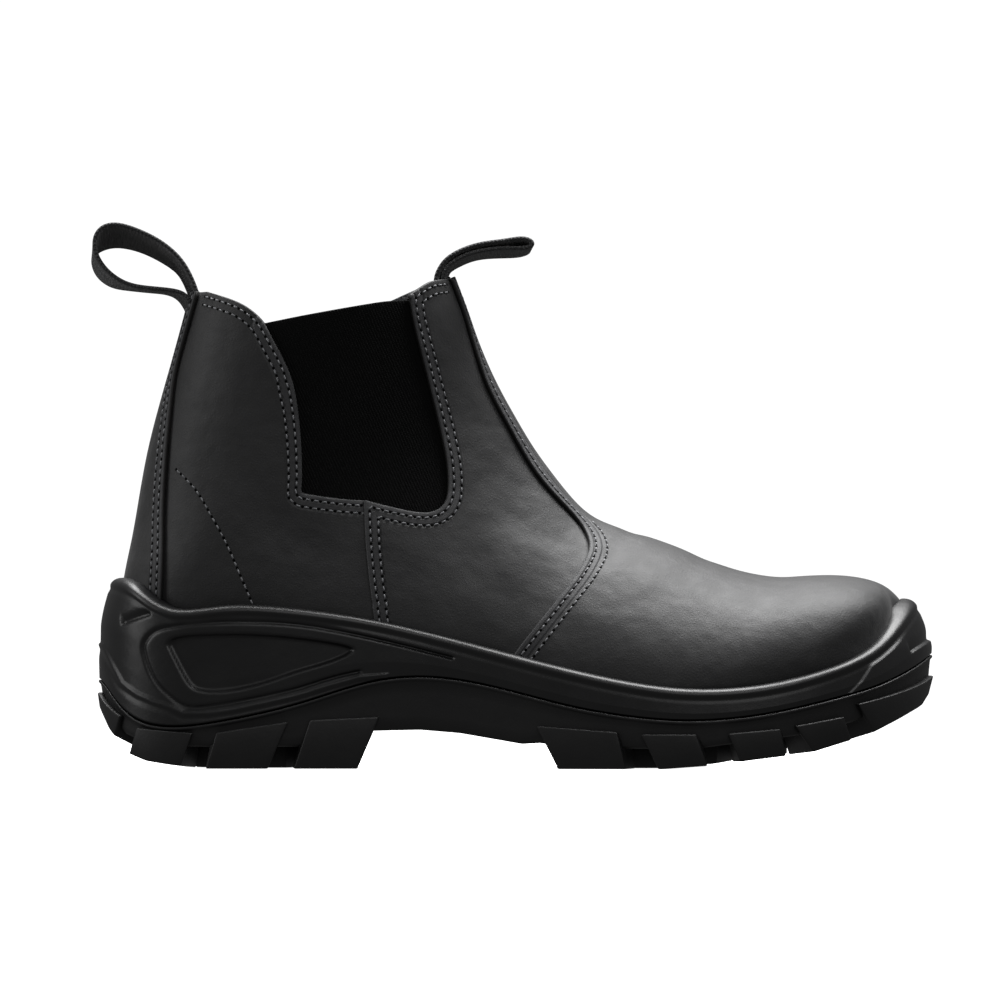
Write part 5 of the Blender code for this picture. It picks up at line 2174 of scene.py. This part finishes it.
@dataclass
class Studio:
    """A white floor and backdrop, soft lights, and the camera at the photograph's angle.

    The camera's numbers are in millimetres; the floor's and the aim of the lights in metres.
    """

    view_x: float = -4.8
    view_z: float = 97.6
    frame_width: float = 365.0
    distance: float = 8000.0
    sensor: float = 36.0
    aim: tuple[float, float, float] = (0.0, 0.0, 0.08)
    floor_half: float = 9.0
    floor_z: float = -0.0002
    floor_glow: float = 1.05
    backdrop_glow: float = 1.05
    room_light: float = 0.14

    def camera(self) -> None:
        """A level camera on the outer side."""
        lens = bpy.data.cameras.new("camera")
        lens.sensor_width = self.sensor
        lens.lens = self.sensor * self.distance / self.frame_width
        lens.clip_start = 0.1
        lens.clip_end = 100.0
        made = bpy.data.objects.new("camera", lens)
        made.location = Vector((self.view_x, -self.distance, self.view_z)) * MM
        made.rotation_euler = (math.pi / 2, 0.0, 0.0)
        bpy.context.scene.collection.objects.link(made)
        bpy.context.scene.camera = made

    def floor(self) -> None:
        """A pale floor that also glows, as lit paper does."""
        half, z = self.floor_half, self.floor_z
        corners = [(-half, -half, z), (half, -half, z), (half, half, z), (-half, half, z)]
        mesh = bpy.data.meshes.new("floor")
        mesh.from_pydata(corners, [], [(0, 1, 2, 3)])
        made = bpy.data.objects.new("floor", mesh)
        bpy.context.scene.collection.objects.link(made)
        graph = Graph("floor_paper")
        graph.feed(graph.shader, {
            "Base Color": linear("#f2f2f2"), "Roughness": 0.9, "Specular IOR Level": 0.1,
            "Emission Color": (1.0, 1.0, 1.0, 1.0), "Emission Strength": self.floor_glow})
        mesh.materials.append(graph.material)
        made.visible_diffuse = False
        made.visible_glossy = False

    def softbox(self, box: Softbox) -> None:
        """An area light turned to the boot.

        Args:
            box: its row of the table.
        """
        light = bpy.data.lights.new(box.name, "AREA")
        light.shape = "RECTANGLE"
        light.size, light.size_y = box.size
        light.energy = box.watts
        made = bpy.data.objects.new(box.name, light)
        made.location = box.place
        away = Vector(self.aim) - Vector(box.place)
        made.rotation_euler = away.to_track_quat("-Z", "Y").to_euler()
        bpy.context.scene.collection.objects.link(made)

    def backdrop(self) -> None:
        """A world that the camera sees white, and that lights the boot only faintly."""
        world = bpy.data.worlds.new("studio")
        world.use_nodes = True
        tree = world.node_tree
        background = tree.nodes["Background"]
        background.inputs["Color"].default_value = (1.0, 1.0, 1.0, 1.0)
        rays = tree.nodes.new("ShaderNodeLightPath")
        strength = tree.nodes.new("ShaderNodeMath")
        strength.operation = "MULTIPLY_ADD"
        strength.inputs[1].default_value = self.backdrop_glow - self.room_light
        strength.inputs[2].default_value = self.room_light
        tree.links.new(rays.outputs["Is Camera Ray"], strength.inputs[0])
        tree.links.new(strength.outputs[0], background.inputs["Strength"])
        bpy.context.scene.world = world

    def build(self) -> None:
        """Sets the stage."""
        self.camera()
        self.floor()
        for box in SOFTBOXES:
            self.softbox(box)
        self.backdrop()
        bpy.context.scene.view_settings.view_transform = "Standard"


@dataclass
class Boot:
    """The whole boot: it builds each sub-assembly, dresses it and fixes it to the frame."""

    frame: dict
    last: Last = field(default_factory=Last)

    def _place(self, piece: bpy.types.Object, slot: str, finishes: Sequence[bpy.types.Material],
               *nodes: str) -> None:
        """Gives a piece its finishes, fixes it to the body and hides the CAD nodes it stands for.

        Args:
            piece: the piece.
            slot: its material slot; not used.
            finishes: its materials in order.
            nodes: the CAD nodes that it stands for.
        """
        for finish in finishes:
            piece.data.materials.append(finish)
        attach(piece, "root")
        if nodes:
            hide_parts(*nodes)
        log.info("%s: %d faces", piece.name, len(piece.data.polygons))

    def build(self) -> None:
        """Builds the boot from the sole up."""
        foam = MouldedFoam("midsole_moulded_polyurethane", "#0a0a0b", "#131314", 0.4).make()
        tread = MouldedFoam("outsole_moulded_polyurethane", "#060607", "#0d0d0e", 0.52,
                            grit_mm=0.7, grit_depth_mm=0.04).make()
        leather = FullGrainLeather().make()
        cut = CutEdge().make()
        textile = TextileLining().make()
        skin = (leather, textile, cut)

        outline = SoleOutline()
        self._place(Midsole(outline, self.last).build(), "midsole_foam", (foam,), "midsole")
        self._place(Outsole(outline).build(), "outsole_compound", (tread,), "outsole")

        upper = Upper(self.last)
        elastic = GoreElastic().make()
        for side in Side:
            word = side.name.lower()
            self._place(upper.back_quarter(side), "black_leather", skin, "upper")
            self._place(upper.front_quarter(side), "black_leather", skin, "upper",
                        f"side_seam_{word}")
            self._place(upper.gore(side), "elastic_gore", (elastic, textile, elastic),
                        f"gore_{word}")
        self._place(upper.vamp(), "black_leather", skin, "vamp")
        self._place(upper.backstay(), "black_leather", skin, "backstay")
        self._place(upper.lining(), "black_leather", (textile, textile, textile), "upper")

        sewn = Stitching(self.last).build("stitching", upper.stitch_lines())
        self._place(sewn, "black_leather", (SewingThread().make(), NeedleHoleShade().make()))

        webbing = LoopWebbing().make()
        back_loop = PullLoop("back_pull_loop", BACK_LOOP, 20.0)
        front_loop = PullLoop("front_pull_loop", FRONT_LOOP, 17.0)
        self._place(back_loop.build(), "webbing", (webbing,), "pull_loop_back")
        self._place(front_loop.build(), "webbing", (webbing,), "pull_loop_front")

        insole = self.frame["nodes"]["insole"]
        insole.data.materials.clear()
        insole.data.materials.append(FootbedFelt().make())


def main() -> None:
    """Builds the boot and its studio, in order."""
    logging.basicConfig(level=logging.INFO, format="%(name)s: %(message)s")
    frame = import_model()
    Studio().build()
    Boot(frame).build()
    bpy.context.view_layer.update()


if __name__ == "__main__":
    main()
